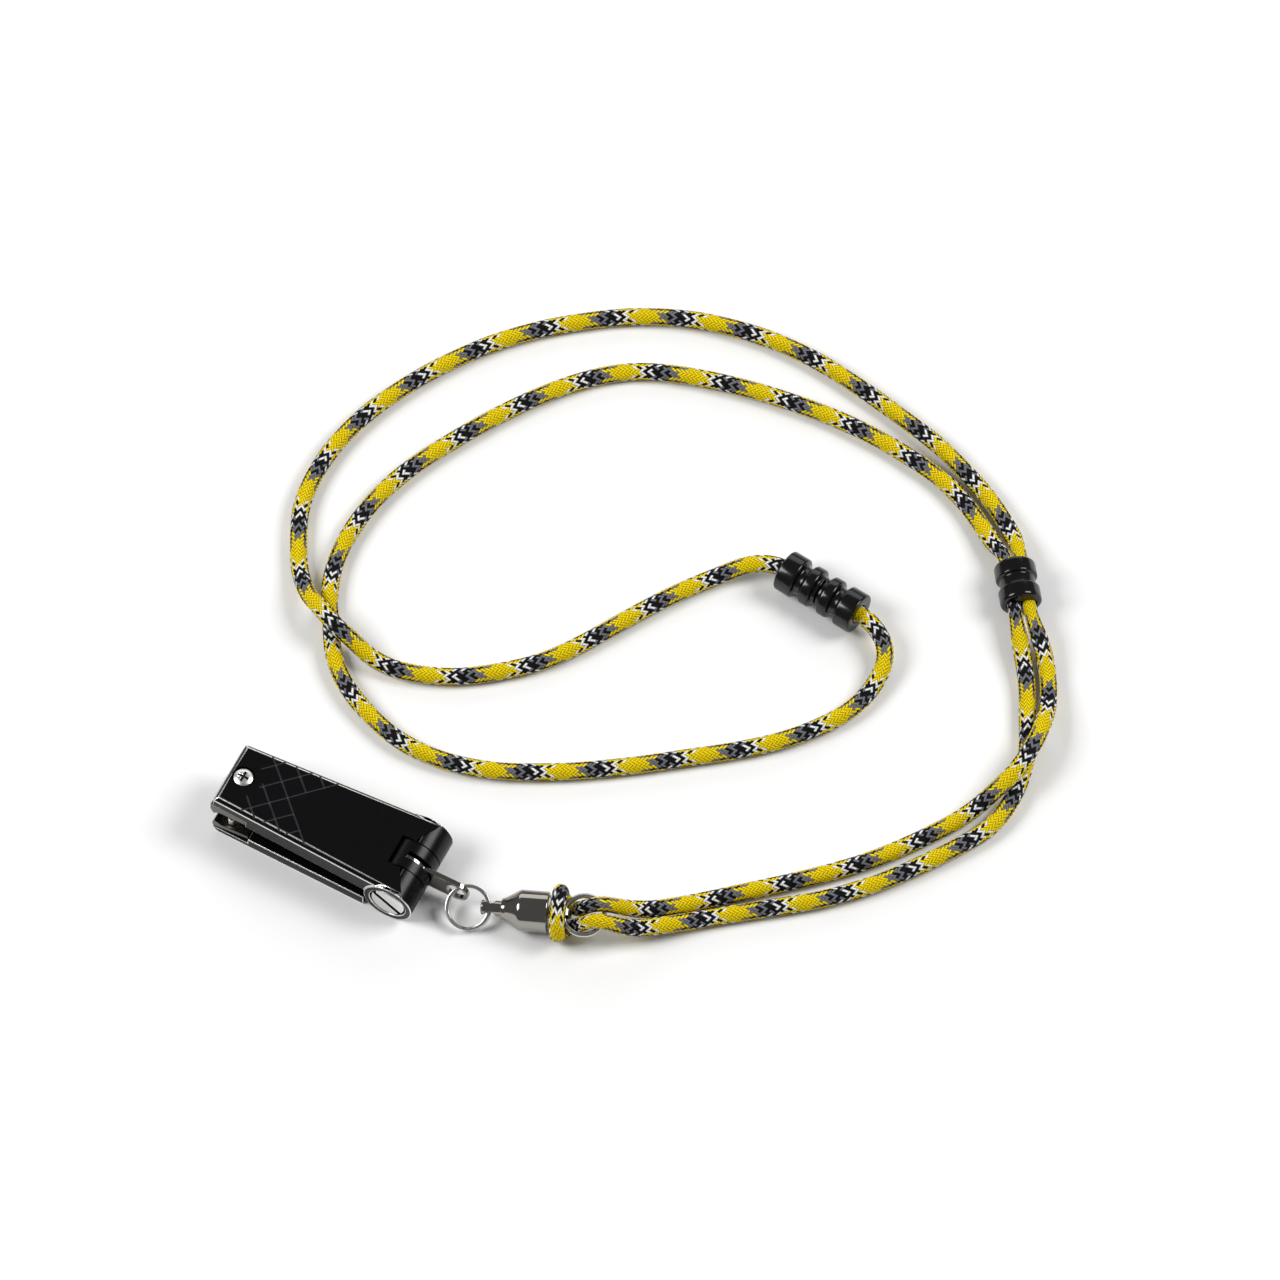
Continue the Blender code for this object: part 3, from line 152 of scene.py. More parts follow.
# Half of the hitch, in the swivel's axes from its rear face: (along, across, up).
HITCH_HALF = [
    (12.4, 2.0, 3.1), (9.7, 1.9, 2.0), (7.9, 1.9, 0.0), (6.5, 2.0, -1.85), (4.4, 2.75, -2.75),
    (2.55, 4.3, -1.6), (2.35, 4.8, 0.6), (2.35, 3.5, 3.1),
]
HITCH_TOP = (2.35, 0.0, 4.15)
STRAND_B_TO_BEAD = [
    (67.2, -24.2, 5.7), (74.0, -22.7, 3.8), (82.0, -20.5, 2.4), (96.7, -17.6, 2.05),
    (111.7, -14.6, 2.05), (126.8, -9.1, 2.05), (141.9, -1.0, 2.05), (149.4, 4.6, 2.05),
    (154.2, 12.2, 2.05), (156.9, 21.5, 2.05), (157.4, 32.0, 2.05), (157.2, 42.0, 2.4),
    (155.9, 51.0, 3.8),
]
STRAND_B = [
    (150.6, 76.4, 3.6), (146.0, 85.0, 2.2), (139.9, 93.3, 2.05), (133.2, 99.2, 2.05),
    (127.3, 103.5, 2.05), (116.4, 110.0, 2.05), (104.0, 115.5, 2.05), (92.0, 119.6, 2.05),
    (74.2, 123.3, 2.05), (60.6, 122.3, 2.05), (43.1, 115.2, 2.05), (25.7, 104.3, 2.05),
    (15.3, 96.1, 2.05), (7.2, 86.8, 2.05), (1.7, 76.8, 2.05), (-0.6, 68.8, 2.05),
    (-1.0, 62.8, 2.05), (-0.7, 57.3, 2.05), (-0.2, 50.7, 2.05), (1.0, 45.2, 2.05),
    (3.7, 39.4, 2.05), (7.2, 34.4, 2.05), (12.5, 28.6, 2.05), (19.0, 23.9, 2.05),
    (30.9, 19.4, 2.05), (46.9, 18.0, 2.05), (65.0, 19.3, 2.05), (83.1, 22.2, 2.05),
    (98.8, 25.4, 2.05), (113.8, 31.8, 2.05), (121.0, 38.2, 2.2), (124.9, 45.6, 3.2),
    (124.2, 52.2, 4.4),
]


def linear(code):
    """An sRGB hex colour as linear red, green and blue."""
    parts = [int(code[start:start + 2], 16) / 255 for start in (1, 3, 5)]
    return [part / 12.92 if part <= 0.04045 else ((part + 0.055) / 1.055) ** 2.4 for part in parts]


# ---------------------------------------------------------------- settings

class CordSettings(bpy.types.PropertyGroup):
    diameter: FloatProperty(name="Diameter", description="Thickness of the braided cord",
                            default=4.0 * MM, unit="LENGTH")
    pitch: FloatProperty(name="Pitch", description="Length in which a yarn goes once round the cord",
                         default=16.0 * MM, unit="LENGTH")
    carriers: IntProperty(name="Carriers", description="Yarns that run each way round the cord",
                          default=16)
    relief: FloatProperty(name="Relief", description="How far each stitch of the braid stands proud",
                          default=0.07 * MM, unit="LENGTH")
    yellow: FloatVectorProperty(name="Yellow", description="Colour of the yellow yarns",
                                default=linear("#FFE000"), subtype="COLOR")
    white: FloatVectorProperty(name="White", description="Colour of the white yarns",
                               default=linear("#FAFAF8"), subtype="COLOR")
    grey: FloatVectorProperty(name="Grey", description="Colour of the grey yarns",
                              default=linear("#7A7B82"), subtype="COLOR")
    black: FloatVectorProperty(name="Black", description="Colour of the black yarns",
                               default=linear("#0A0A0C"), subtype="COLOR")


class FittingSettings(bpy.types.PropertyGroup):
    bead_length: FloatProperty(name="Bead length", description="Length of the slider bead",
                               default=10.4 * MM, unit="LENGTH")
    bead_radius: FloatProperty(name="Bead radius", description="Radius of the bead's two flanges",
                               default=4.8 * MM, unit="LENGTH")
    bead_waist: FloatProperty(name="Bead waist", description="Radius between the bead's flanges",
                              default=4.1 * MM, unit="LENGTH")
    connector_length: FloatProperty(name="Connector length", description="Both halves together",
                                    default=20.6 * MM, unit="LENGTH")
    connector_radius: FloatProperty(name="Connector radius", description="Radius at the ridges",
                                    default=4.9 * MM, unit="LENGTH")
    ring_radius: FloatProperty(name="Split ring radius", description="To the middle of its wire",
                               default=4.8 * MM, unit="LENGTH")
    rear_ring_radius: FloatProperty(name="Hitch ring radius", description="To the middle of its wire",
                                    default=4.6 * MM, unit="LENGTH")
    plastic: FloatVectorProperty(name="Plastic", description="Colour of the bead and the connector",
                                 default=linear("#0B0B0C"), subtype="COLOR")
    nickel: FloatVectorProperty(name="Nickel", description="Colour of the polished fittings",
                                default=linear("#9C9994"), subtype="COLOR")


class NipperSettings(bpy.types.PropertyGroup):
    edge_break: FloatProperty(name="Edge break", description="Width of the bright broken edges",
                              default=0.22 * MM, unit="LENGTH")
    anodise: FloatVectorProperty(name="Anodise", description="Colour of the anodised arms",
                                 default=linear("#08080A"), subtype="COLOR")
    # Painted highlight: the arms' broken edges get this bright metal colour in place of the light that
    # their rounded edges catch.
    edge_highlight: FloatVectorProperty(name="Edge highlight", description="Colour painted on the arms' broken edges as a highlight",
                              default=linear("#E4E4E2"), subtype="COLOR")
    steel: FloatVectorProperty(name="Jaw steel", description="Colour of the ground jaw inserts",
                               default=linear("#75736C"), subtype="COLOR")
    screw: FloatVectorProperty(name="Screw steel", description="Colour of the screws and the pin",
                               default=linear("#E6E6E2"), subtype="COLOR")


# ---------------------------------------------------------------- materials

def node(tree, kind, settings=None, **inputs):
    """Adds a node with its settings; each input is a value, an output socket or a node's first output."""
    added = tree.nodes.new(kind)
    for name, value in (settings or {}).items():
        setattr(added, name, value)
    for name, value in inputs.items():
        by_number = name[0] == "i" and name[1:].isdigit()
        socket = added.inputs[int(name[1:]) if by_number else name.replace("_", " ")]
        if isinstance(value, bpy.types.Node):
            value = value.outputs[0]
        if isinstance(value, bpy.types.NodeSocket):
            tree.links.new(value, socket)
        else:
            socket.default_value = value
    return added


def principled(name, colour, roughness, metallic=0.0, **more):
    """A new Principled material; more holds further shader sockets by name."""
    mat = bpy.data.materials.new(name)
    mat.use_nodes = True
    shader = mat.node_tree.nodes["Principled BSDF"]
    shader.inputs["Base Color"].default_value = (*colour, 1)
    shader.inputs["Roughness"].default_value = roughness
    shader.inputs["Metallic"].default_value = metallic
    for key, value in more.items():
        shader.inputs[key.replace("_", " ")].default_value = value
    return mat, mat.node_tree, shader


def object_point(tree, scale):
    """Object coordinates, scaled for a pattern that is stretched along one axis."""
    place = node(tree, "ShaderNodeTexCoord").outputs["Object"]
    return node(tree, "ShaderNodeMapping", Vector=place, Scale=scale).outputs["Vector"]


def worn(tree, shader, grain_mm, roughness, swing, bump, stretch=(1, 1, 1)):
    """Roughness that varies over the surface, and a fine bump of the given grain."""
    spot = object_point(tree, stretch)
    cloud = node(tree, "ShaderNodeTexNoise", Vector=spot, Scale=1 / (8 * grain_mm * MM), Detail=3.0)
    rough = node(tree, "ShaderNodeMapRange", Value=cloud.outputs["Fac"], To_Min=roughness - swing,
                 To_Max=roughness + swing)
    tree.links.new(rough.outputs["Result"], shader.inputs["Roughness"])
    grain = node(tree, "ShaderNodeTexNoise", Vector=spot, Scale=1 / (grain_mm * MM), Detail=2.0)
    relief = node(tree, "ShaderNodeBump", Height=grain.outputs["Fac"], Strength=bump,
                  Distance=0.02 * MM)
    tree.links.new(relief.outputs["Normal"], shader.inputs["Normal"])


def anodised_aluminium():
    """Black hard-anodised aluminium, bead-blasted first: a dark, faintly grainy satin gloss."""
    mat, tree, shader = principled("black_anodised_aluminium", bpy.context.scene.nipper.anodise,
                                   0.26, 0.0, IOR=1.5, Specular_IOR_Level=0.2)
    worn(tree, shader, 0.25, 0.26, 0.04, 0.12)
    return mat


def painted_edge_highlight():
    """Painted highlight on the arms' broken edges: a bright metal that stands in for the light they catch,
    with fine lines.
    """
    mat, tree, shader = principled("painted_highlight_edge", bpy.context.scene.nipper.edge_highlight, 0.25, 1.0)
    worn(tree, shader, 0.12, 0.25, 0.08, 0.15)
    return mat


def scored_aluminium():
    """The floor of a scored grip line: anodised like the face, but matt and a little lighter."""
    mat, tree, shader = principled("scored_grip_line", linear("#5A5A5E"), 0.4, 0.7)
    worn(tree, shader, 0.1, 0.4, 0.15, 0.5)
    return mat


def painted_recess_shade():
    """The bottom of a driver recess, painted near-black as the shade that falls into it."""
    mat, tree, shader = principled("painted_shade_in_recess", linear("#0A0A0C"), 0.5)
    worn(tree, shader, 0.1, 0.5, 0.1, 0.3)
    return mat


def ground_steel():
    """Hardened tool steel, surface ground: grey, with grinding lines across the jaw."""
    mat, tree, shader = principled("ground_tool_steel", bpy.context.scene.nipper.steel, 0.24, 1.0)
    worn(tree, shader, 0.1, 0.24, 0.07, 0.4, (8, 0.4, 8))
    return mat


def screw_steel():
    """Turned and tumbled stainless steel: near-white with soft highlights."""
    mat, tree, shader = principled("tumbled_stainless_steel", bpy.context.scene.nipper.screw, 0.34, 1.0)
    worn(tree, shader, 0.15, 0.34, 0.06, 0.2)
    return mat


def spring_steel():
    """Drawn spring wire: bright, with faint lines along the wire."""
    mat, tree, shader = principled("drawn_spring_wire", linear("#CFCFCC"), 0.18, 1.0)
    worn(tree, shader, 0.1, 0.18, 0.05, 0.15)
    return mat


def polished_nickel():
    """Nickel plate on brass, buffed: mirror-like with a warm cast and a little haze."""
    mat, tree, shader = principled("buffed_nickel_plate", bpy.context.scene.fittings.nickel, 0.1, 1.0)
    worn(tree, shader, 0.3, 0.1, 0.04, 0.1)
    return mat


def moulded_plastic():
    """Glossy moulded acetal: deep black with a faint flow ripple from the mould."""
    mat, tree, shader = principled("moulded_black_acetal", bpy.context.scene.fittings.plastic, 0.14,
                                   0.0, IOR=1.48)
    worn(tree, shader, 0.8, 0.15, 0.04, 0.2)
    return mat


def melted_nylon():
    """A cord end sealed with a flame: dark, glassy and lumpy."""
    mat, tree, shader = principled("melted_cord_end", linear("#3A3412"), 0.4)
    worn(tree, shader, 0.5, 0.4, 0.1, 0.8)
    return mat


def yarn_colours(tree, rank, cord):
    """The colour of the yarn with this number: the bobbins' colours in turn, once round the cord."""
    bobbins = ((0, cord.grey), (2, cord.black), (3, cord.grey), (4, cord.black), (6, cord.white),
               (7, cord.black), (8, cord.white), (9, cord.yellow))
    middle = node(tree, "ShaderNodeMath", {"operation": "ADD"}, i0=rank, i1=0.5)
    turns = node(tree, "ShaderNodeMath", {"operation": "DIVIDE"}, i0=middle, i1=float(cord.carriers))
    share = node(tree, "ShaderNodeMath", {"operation": "FRACT"}, i0=turns)
    ramp = node(tree, "ShaderNodeValToRGB", Fac=share)
    ramp.color_ramp.interpolation = "CONSTANT"
    for first, _ in bobbins[2:]:
        ramp.color_ramp.elements.new(first / cord.carriers)
    for element, (first, colour) in zip(ramp.color_ramp.elements, bobbins):
        element.position = first / cord.carriers
        element.color = (*colour, 1)
    return ramp.outputs["Color"]


def braided_nylon(pitches):
    """Braided nylon in four colours: yarns cross over two and under two, in columns down the cord, with
    painted shade between the yarns and along their plies.
    """
    cord = bpy.context.scene.cord
    mat, tree, shader = principled("braided_nylon", cord.yellow, 0.6, Specular_IOR_Level=0.12)
    count = float(cord.carriers)
    place = node(tree, "ShaderNodeTexCoord").outputs["UV"]
    split = node(tree, "ShaderNodeSeparateXYZ", Vector=place)
    turn = node(tree, "ShaderNodeMath", {"operation": "MULTIPLY"}, i0=split.outputs["X"], i1=count)
    along = node(tree, "ShaderNodeMath", {"operation": "MULTIPLY"}, i0=split.outputs["Y"],
                 i1=pitches * count)
    left = node(tree, "ShaderNodeMath", {"operation": "ADD"}, i0=along, i1=turn)
    back = node(tree, "ShaderNodeMath", {"operation": "SUBTRACT"}, i0=along, i1=turn)
    right = node(tree, "ShaderNodeMath", {"operation": "ADD"}, i0=back,
                 i1=WEAVE_REPEAT * count)
    left_rank = node(tree, "ShaderNodeMath", {"operation": "FLOOR"}, i0=left)
    right_rank = node(tree, "ShaderNodeMath", {"operation": "FLOOR"}, i0=right)
    left_side = node(tree, "ShaderNodeMath", {"operation": "FRACT"}, i0=left)
    right_side = node(tree, "ShaderNodeMath", {"operation": "FRACT"}, i0=right)
    apart = node(tree, "ShaderNodeMath", {"operation": "SUBTRACT"}, i0=left_rank, i1=right_rank)
    beat = node(tree, "ShaderNodeMath", {"operation": "FLOORED_MODULO"}, i0=apart,
                i1=float(WEAVE_REPEAT))
    over = node(tree, "ShaderNodeMath", {"operation": "LESS_THAN"}, i0=beat, i1=OVER_BELOW)
    yarn = node(tree, "ShaderNodeMix", {"data_type": "RGBA"}, Factor=over,
                i6=yarn_colours(tree, right_rank, cord), i7=yarn_colours(tree, left_rank, cord))
    side = node(tree, "ShaderNodeMix", {"data_type": "FLOAT"}, Factor=over, i2=right_side, i3=left_side)
    offset = node(tree, "ShaderNodeMath", {"operation": "MULTIPLY_ADD"}, i0=side, i1=2.0, i2=-1.0)
    edge = node(tree, "ShaderNodeMath", {"operation": "ABSOLUTE"}, i0=offset)
    fall = node(tree, "ShaderNodeMath", {"operation": "POWER"}, i0=edge, i1=CROWN_POWER)
    crown = node(tree, "ShaderNodeMath", {"operation": "SUBTRACT"}, i0=1.0, i1=fall)
    # Painted shade: each yarn is darkened towards its sides, so the gaps between yarns read dark.
    gap_shade = node(tree, "ShaderNodeMapRange", Value=crown, To_Min=0.15, To_Max=1.0)
    # Painted shade: ribs along each yarn, lighter and darker in turn, for the twist of its plies.
    twist = node(tree, "ShaderNodeMath", {"operation": "MULTIPLY"}, i0=along,
                 i1=2 * math.pi * PLIES_PER_STITCH)
    ply = node(tree, "ShaderNodeMath", {"operation": "SINE"}, i0=twist)
    ply_shade = node(tree, "ShaderNodeMapRange", Value=ply, From_Min=-1.0, To_Min=0.88, To_Max=1.0)
    stitch = node(tree, "ShaderNodeCombineXYZ", X=left_rank, Y=right_rank)
    chance = node(tree, "ShaderNodeTexWhiteNoise", Vector=stitch).outputs["Value"]
    tone = node(tree, "ShaderNodeMapRange", Value=chance, To_Min=0.92, To_Max=1.0)
    # The random tone of each stitch, times the painted shade.
    dim = node(tree, "ShaderNodeMath", {"operation": "MULTIPLY"}, i0=gap_shade, i1=tone)
    shade = node(tree, "ShaderNodeMath", {"operation": "MULTIPLY"}, i0=dim, i1=ply_shade)
    colour = node(tree, "ShaderNodeMix", {"data_type": "RGBA", "blend_type": "MULTIPLY"}, Factor=1.0,
                  i6=yarn.outputs[2], i7=shade)
    tree.links.new(colour.outputs[2], shader.inputs["Base Color"])
    relief = node(tree, "ShaderNodeBump", Height=crown, Strength=0.8, Distance=0.12 * MM)
    tree.links.new(relief.outputs["Normal"], shader.inputs["Normal"])
    return mat


FINISHES = {}


def finish(name):
    """The material for one of the record's slots, or one of its companions, made once."""
    # The edge finish paints a highlight on the arms' broken edges, and the recess finish paints shade into
    # driver recesses.
    makers = {"anodised": anodised_aluminium, "edge_highlight": painted_edge_highlight, "tool_steel": ground_steel,
              "screw": screw_steel, "wire": spring_steel, "nickel": polished_nickel,
              "acetal": moulded_plastic, "nylon": melted_nylon, "groove": scored_aluminium,
              "recess": painted_recess_shade}
    if name not in FINISHES:
        FINISHES[name] = makers[name]()
    return FINISHES[name]


# ---------------------------------------------------------------- mesh helpers

def piece(name, shape, body, finishes, replaces=(), smooth_below=35):
    """Turns a bmesh into a finished object that rides on a body."""
    mesh = bpy.data.meshes.new(name)
    shape.to_mesh(mesh)
    shape.free()
    obj = bpy.data.objects.new(name, mesh)
    bpy.context.scene.collection.objects.link(obj)
    for key in finishes:
        mesh.materials.append(finish(key) if isinstance(key, str) else key)
    mesh.shade_smooth()
    mesh.set_sharp_from_angle(angle=math.radians(smooth_below))
    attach(obj, body)
    if replaces:
        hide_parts(*replaces)
    return obj


def softened(obj, width, segments=2, material=-1):
    """Breaks the weighted edges of a piece, and keeps its flat faces flat."""
    bevel = obj.modifiers.new("edge_break", "BEVEL")
    bevel.width = width
    bevel.segments = segments
    bevel.limit_method = "WEIGHT"
    bevel.material = material
    bevel.use_clamp_overlap = False
    even = obj.modifiers.new("even_normals", "WEIGHTED_NORMAL")
    even.keep_sharp = True
    even.weight = 90
    return obj


def rounded(profile, radius, closed=True, steps=4):
    """The profile with every corner turned into a small curve."""
    count = len(profile)
    points = []
    for number, corner in enumerate(profile):
        here = Vector(corner)
        if not closed and number in (0, count - 1):
            points.append(here)
            continue
        before = Vector(profile[number - 1]) - here
        after = Vector(profile[(number + 1) % count]) - here
        back = min(radius, 0.45 * before.length, 0.45 * after.length)
        first = here + before.normalized() * back
        last = here + after.normalized() * back
        for step in range(steps + 1):
            t = step / steps
            points.append((1 - t) ** 2 * first + 2 * t * (1 - t) * here + t ** 2 * last)
    return points


def turned(profile, place, closed=True, steps=72):
    """A profile of (along, radius) spun round the X axis and moved to its place."""
    shape = bmesh.new()
    ring = [shape.verts.new((along, 0, radius)) for along, radius in profile]
    pairs = list(zip(ring, ring[1:] + (ring[:1] if closed else [])))
    edges = [shape.edges.new(pair) for pair in pairs]
    bmesh.ops.spin(shape, geom=ring + edges, cent=(0, 0, 0), axis=(1, 0, 0), angle=2 * math.pi,
                   steps=steps, use_merge=True, use_duplicate=False)
    bmesh.ops.remove_doubles(shape, verts=shape.verts, dist=1e-6)
    bmesh.ops.recalc_face_normals(shape, faces=shape.faces)
    bmesh.ops.transform(shape, matrix=place, verts=shape.verts)
    return shape


def round_cutter(radius, start, end, segments=48):
    """A round bar as a separate object, for cutting a hole."""
    run = Vector(end) - Vector(start)
    turn = Vector((0, 0, 1)).rotation_difference(run).to_matrix().to_4x4()
    shape = bmesh.new()
    bmesh.ops.create_cone(shape, cap_ends=True, segments=segments, radius1=radius, radius2=radius,
                          depth=run.length,
                          matrix=Matrix.Translation((Vector(start) + Vector(end)) / 2) @ turn)
    return cutter(shape)


def cutter(shape):
    """A mesh as a separate object that carve uses up."""
    mesh = bpy.data.meshes.new("cutter")
    shape.to_mesh(mesh)
    shape.free()
    obj = bpy.data.objects.new("cutter", mesh)
    bpy.context.scene.collection.objects.link(obj)
    return obj


def carve(obj, *tools, operation="DIFFERENCE"):
    """Applies a Boolean with each tool, and removes the tools."""
    for tool in tools:
        step = obj.modifiers.new("carve", "BOOLEAN")
        step.operation = operation
        step.object = tool
        step.solver = "EXACT"
        graph = bpy.context.evaluated_depsgraph_get()
        carved = bpy.data.meshes.new_from_object(obj.evaluated_get(graph))
        obj.modifiers.clear()
        obj.data = carved
        bpy.data.objects.remove(tool, do_unlink=True)
    return obj


def cad_shape(name):
    """A CAD node's mesh, welded and with its flat faces made whole."""
    shape = bmesh.new()
    shape.from_mesh(frame["nodes"][name].data)
    bmesh.ops.remove_doubles(shape, verts=shape.verts, dist=2e-6)
    bmesh.ops.dissolve_limit(shape, angle_limit=math.radians(1.0), verts=shape.verts,
                             edges=shape.edges, delimit={"NORMAL"})
    return shape


def dressed(node_name, name, body, finishes, width, material=-1, pick=None, crisp=None):
    """A piece that keeps a CAD node's shape, with broken edges except where crisp says so.

    pick marks the faces that get the last finish; their edges stay crisp too."""
    last_finish = len(finishes) - 1
    shape = cad_shape(node_name)
    if pick:
        for face in shape.faces:
            face.material_index = last_finish if pick(face) else 0
    weight = shape.edges.layers.float.new("bevel_weight_edge")
    shape.edges.index_update()
    unbroken = []
    for edge in shape.edges:
        sharp = len(edge.link_faces) == 2 and edge.calc_face_angle(0) > math.radians(33)
        plain = not any(face.material_index for face in edge.link_faces)
        kept = crisp and crisp((edge.verts[0].co + edge.verts[1].co) / 2)
        edge[weight] = 1.0 if sharp and plain and not kept else 0.0
        if sharp and not edge[weight]:
            unbroken.append(edge.index)
    obj = piece(name, shape, body, finishes, (node_name,), 180)
    for number in unbroken:
        obj.data.edges[number].use_edge_sharp = True
    return softened(obj, width, material=material)


# ---------------------------------------------------------------- places

def axes_at(origin, axis, tilt=0.0):
    """A frame with X along the axis, Y level and across it, turned by tilt about the axis."""
    along = Vector(axis).normalized()
    across = Vector((0, 0, 1)).cross(along).normalized()
    up = along.cross(across)
    turn = Matrix((along, across, up)).transposed().to_4x4()
    return Matrix.Translation(Vector(origin)) @ turn @ Matrix.Rotation(tilt, 4, "X")


def lanyard_point(x, y, z):
    """A point of the lanyard's own axes, in the frame's axes."""
    return Matrix.Rotation(LANYARD_TURN, 3, "Z") @ Vector((x, y, z))


def lanyard_axes(at, turn):
    """A level place on the lanyard, turned about the vertical in the lanyard's own axes."""
    return (Matrix.Translation(lanyard_point(*at))
            @ Matrix.Rotation(LANYARD_TURN + turn, 4, "Z"))


def swivel_axes(tilt=0.0):
    """The swivel's rear face, with X back along it towards the cord."""
    joint = JOINTS["swivel_turn"]
    return axes_at(joint["pos_m"], joint["axis"], tilt)


def upper_arm_axes():
    """The hinge, with X along the open upper arm away from its jaw."""
    joint = JOINTS["squeeze"]
    return Matrix.Translation(Vector(joint["pos_m"])) @ Matrix.Rotation(OPEN_ANGLE, 4, "Y")


# ---------------------------------------------------------------- cord

def bead_passage(side):
    """Points of a strand through the bead, straight for a little way beyond both its ends."""
    place = Matrix.Translation(Vector(BEAD_AT)) @ Matrix.Rotation(BEAD_TURN, 4, "Z")
    reach = bpy.context.scene.fittings.bead_length / 2 + BEAD_TRAVEL
    return [place @ Vector((along, side * BEAD_CORD_APART / 2, 0))
            for along in (-reach, -reach / 2, 0, reach / 2, reach)]


def connector_passage(side):
    """Points of the cord inside one half of the connector, out to just past its mouth."""
    place = Matrix.Translation(Vector(CONNECTOR_AT)) @ Matrix.Rotation(CONNECTOR_TURN, 4, "Z")
    mouth = bpy.context.scene.fittings.connector_length / 2
    return [place @ Vector((side * along, 0, 0))
            for along in (mouth - CORD_END_DEPTH, mouth - CORD_END_DEPTH / 2, mouth, mouth + 1.5 * MM)]


def route():
    """The cord's whole centreline points, from the socket to the plug."""
    knot_axes = swivel_axes(REAR_RING_TILT)

    def lanyard(points):
        return [lanyard_point(*(MM * value for value in point)) for point in points]

    def knot(points):
        return [knot_axes @ (MM * Vector(point)) for point in points]

    near_a = [lanyard_point(*point) for point in bead_passage(1)]
    near_b = [lanyard_point(*point) for point in reversed(bead_passage(-1))]
    socket_end = [lanyard_point(*point) for point in connector_passage(-1)]
    plug_end = [lanyard_point(*point) for point in reversed(connector_passage(1))]
    other_half = [(along, -across, up) for along, across, up in reversed(HITCH_HALF)]
    return (socket_end + lanyard(STRAND_A) + near_a + lanyard(STRAND_A_FROM_BEAD) + knot(HITCH_HALF)
            + knot([HITCH_TOP]) + knot(other_half) + lanyard(STRAND_B_TO_BEAD) + near_b
            + lanyard(STRAND_B) + plug_end)


def smooth_curve(points):
    """The natural cubic spline through the given points, with the run along it."""
    knots = np.array([tuple(point) for point in points])
    gaps = np.sqrt(np.linalg.norm(np.diff(knots, axis=0), axis=1))
    at = np.concatenate([[0.0], np.cumsum(gaps)])
    count = len(knots)
    system = np.zeros((count, count))
    right = np.zeros((count, 3))
    system[0, 0] = system[-1, -1] = 1.0
    for row in range(1, count - 1):
        before, after = gaps[row - 1], gaps[row]
        system[row, row - 1:row + 2] = before, 2 * (before + after), after
        right[row] = 6 * ((knots[row + 1] - knots[row]) / after - (knots[row] - knots[row - 1]) / before)
    bend = np.linalg.solve(system, right)
    fine = np.linspace(0, at[-1], 12000)
    span = np.clip(np.searchsorted(at, fine, side="right") - 1, 0, count - 2)
    width = gaps[span][:, None]
    ahead = (fine - at[span])[:, None]
    behind = width - ahead
    curve = (bend[span] * behind ** 3 / (6 * width) + bend[span + 1] * ahead ** 3 / (6 * width)
             + (knots[span] / width - bend[span] * width / 6) * behind
             + (knots[span + 1] / width - bend[span + 1] * width / 6) * ahead)
    lowest = bpy.context.scene.cord.diameter / 2 + 0.1 * MM
    curve[:, 2] = np.maximum(curve[:, 2], lowest)
    run = np.concatenate([[0.0], np.cumsum(np.linalg.norm(np.diff(curve, axis=0), axis=1))])
    return curve, run


def shown_side(path, ahead):
    """A unit normal at each point that keeps the braid's plain stripe turned up and to the front."""
    side = np.array(lanyard_point(0, -0.5, 0.866))
    normal = np.cross(ahead[0], np.cross(side, ahead[0]))
    carried = np.zeros_like(path)
    for number, heading in enumerate(ahead):
        normal = normal - heading * normal.dot(heading)
        normal = normal / np.linalg.norm(normal)
        carried[number] = normal
    wanted = side - ahead * (ahead @ side)[:, None]
    clear = np.linalg.norm(wanted, axis=1)
    across = np.cross(ahead, carried)
    angle = np.arctan2((wanted * across).sum(1), (wanted * carried).sum(1))
    steady = clear > 0.55
    where = np.nonzero(steady)[0]
    angle = np.interp(np.arange(len(path)), where, np.unwrap(angle[where]))
    window = np.hanning(41)
    padded = np.pad(angle, 20, mode="edge")
    angle = np.convolve(padded, window / window.sum(), mode="valid")
    return carried * np.cos(angle)[:, None] + across * np.sin(angle)[:, None]


def cord_radii(path):
    """The cord's radius at each point: squeezed in the bead and where it turns through its ring."""
    full = bpy.context.scene.cord.diameter / 2
    fittings = bpy.context.scene.fittings
    bead = np.array(lanyard_point(*BEAD_AT))
    ring = np.array(swivel_axes() @ Vector((REAR_EYE_AT + fittings.rear_ring_radius, 0, 0)))
    from_bead = np.linalg.norm(path - bead, axis=1) - fittings.bead_length / 2 - BEAD_TRAVEL - MM
    from_ring = np.linalg.norm(path - ring, axis=1) - fittings.rear_ring_radius
    in_bead = 1 - np.clip(from_bead / (5 * MM), 0, 1)
    in_ring = 1 - np.clip(from_ring / (8 * MM), 0, 1)
    return np.minimum(full - (full - BEAD_CORD_RADIUS) * in_bead, full - 0.3 * MM * in_ring)


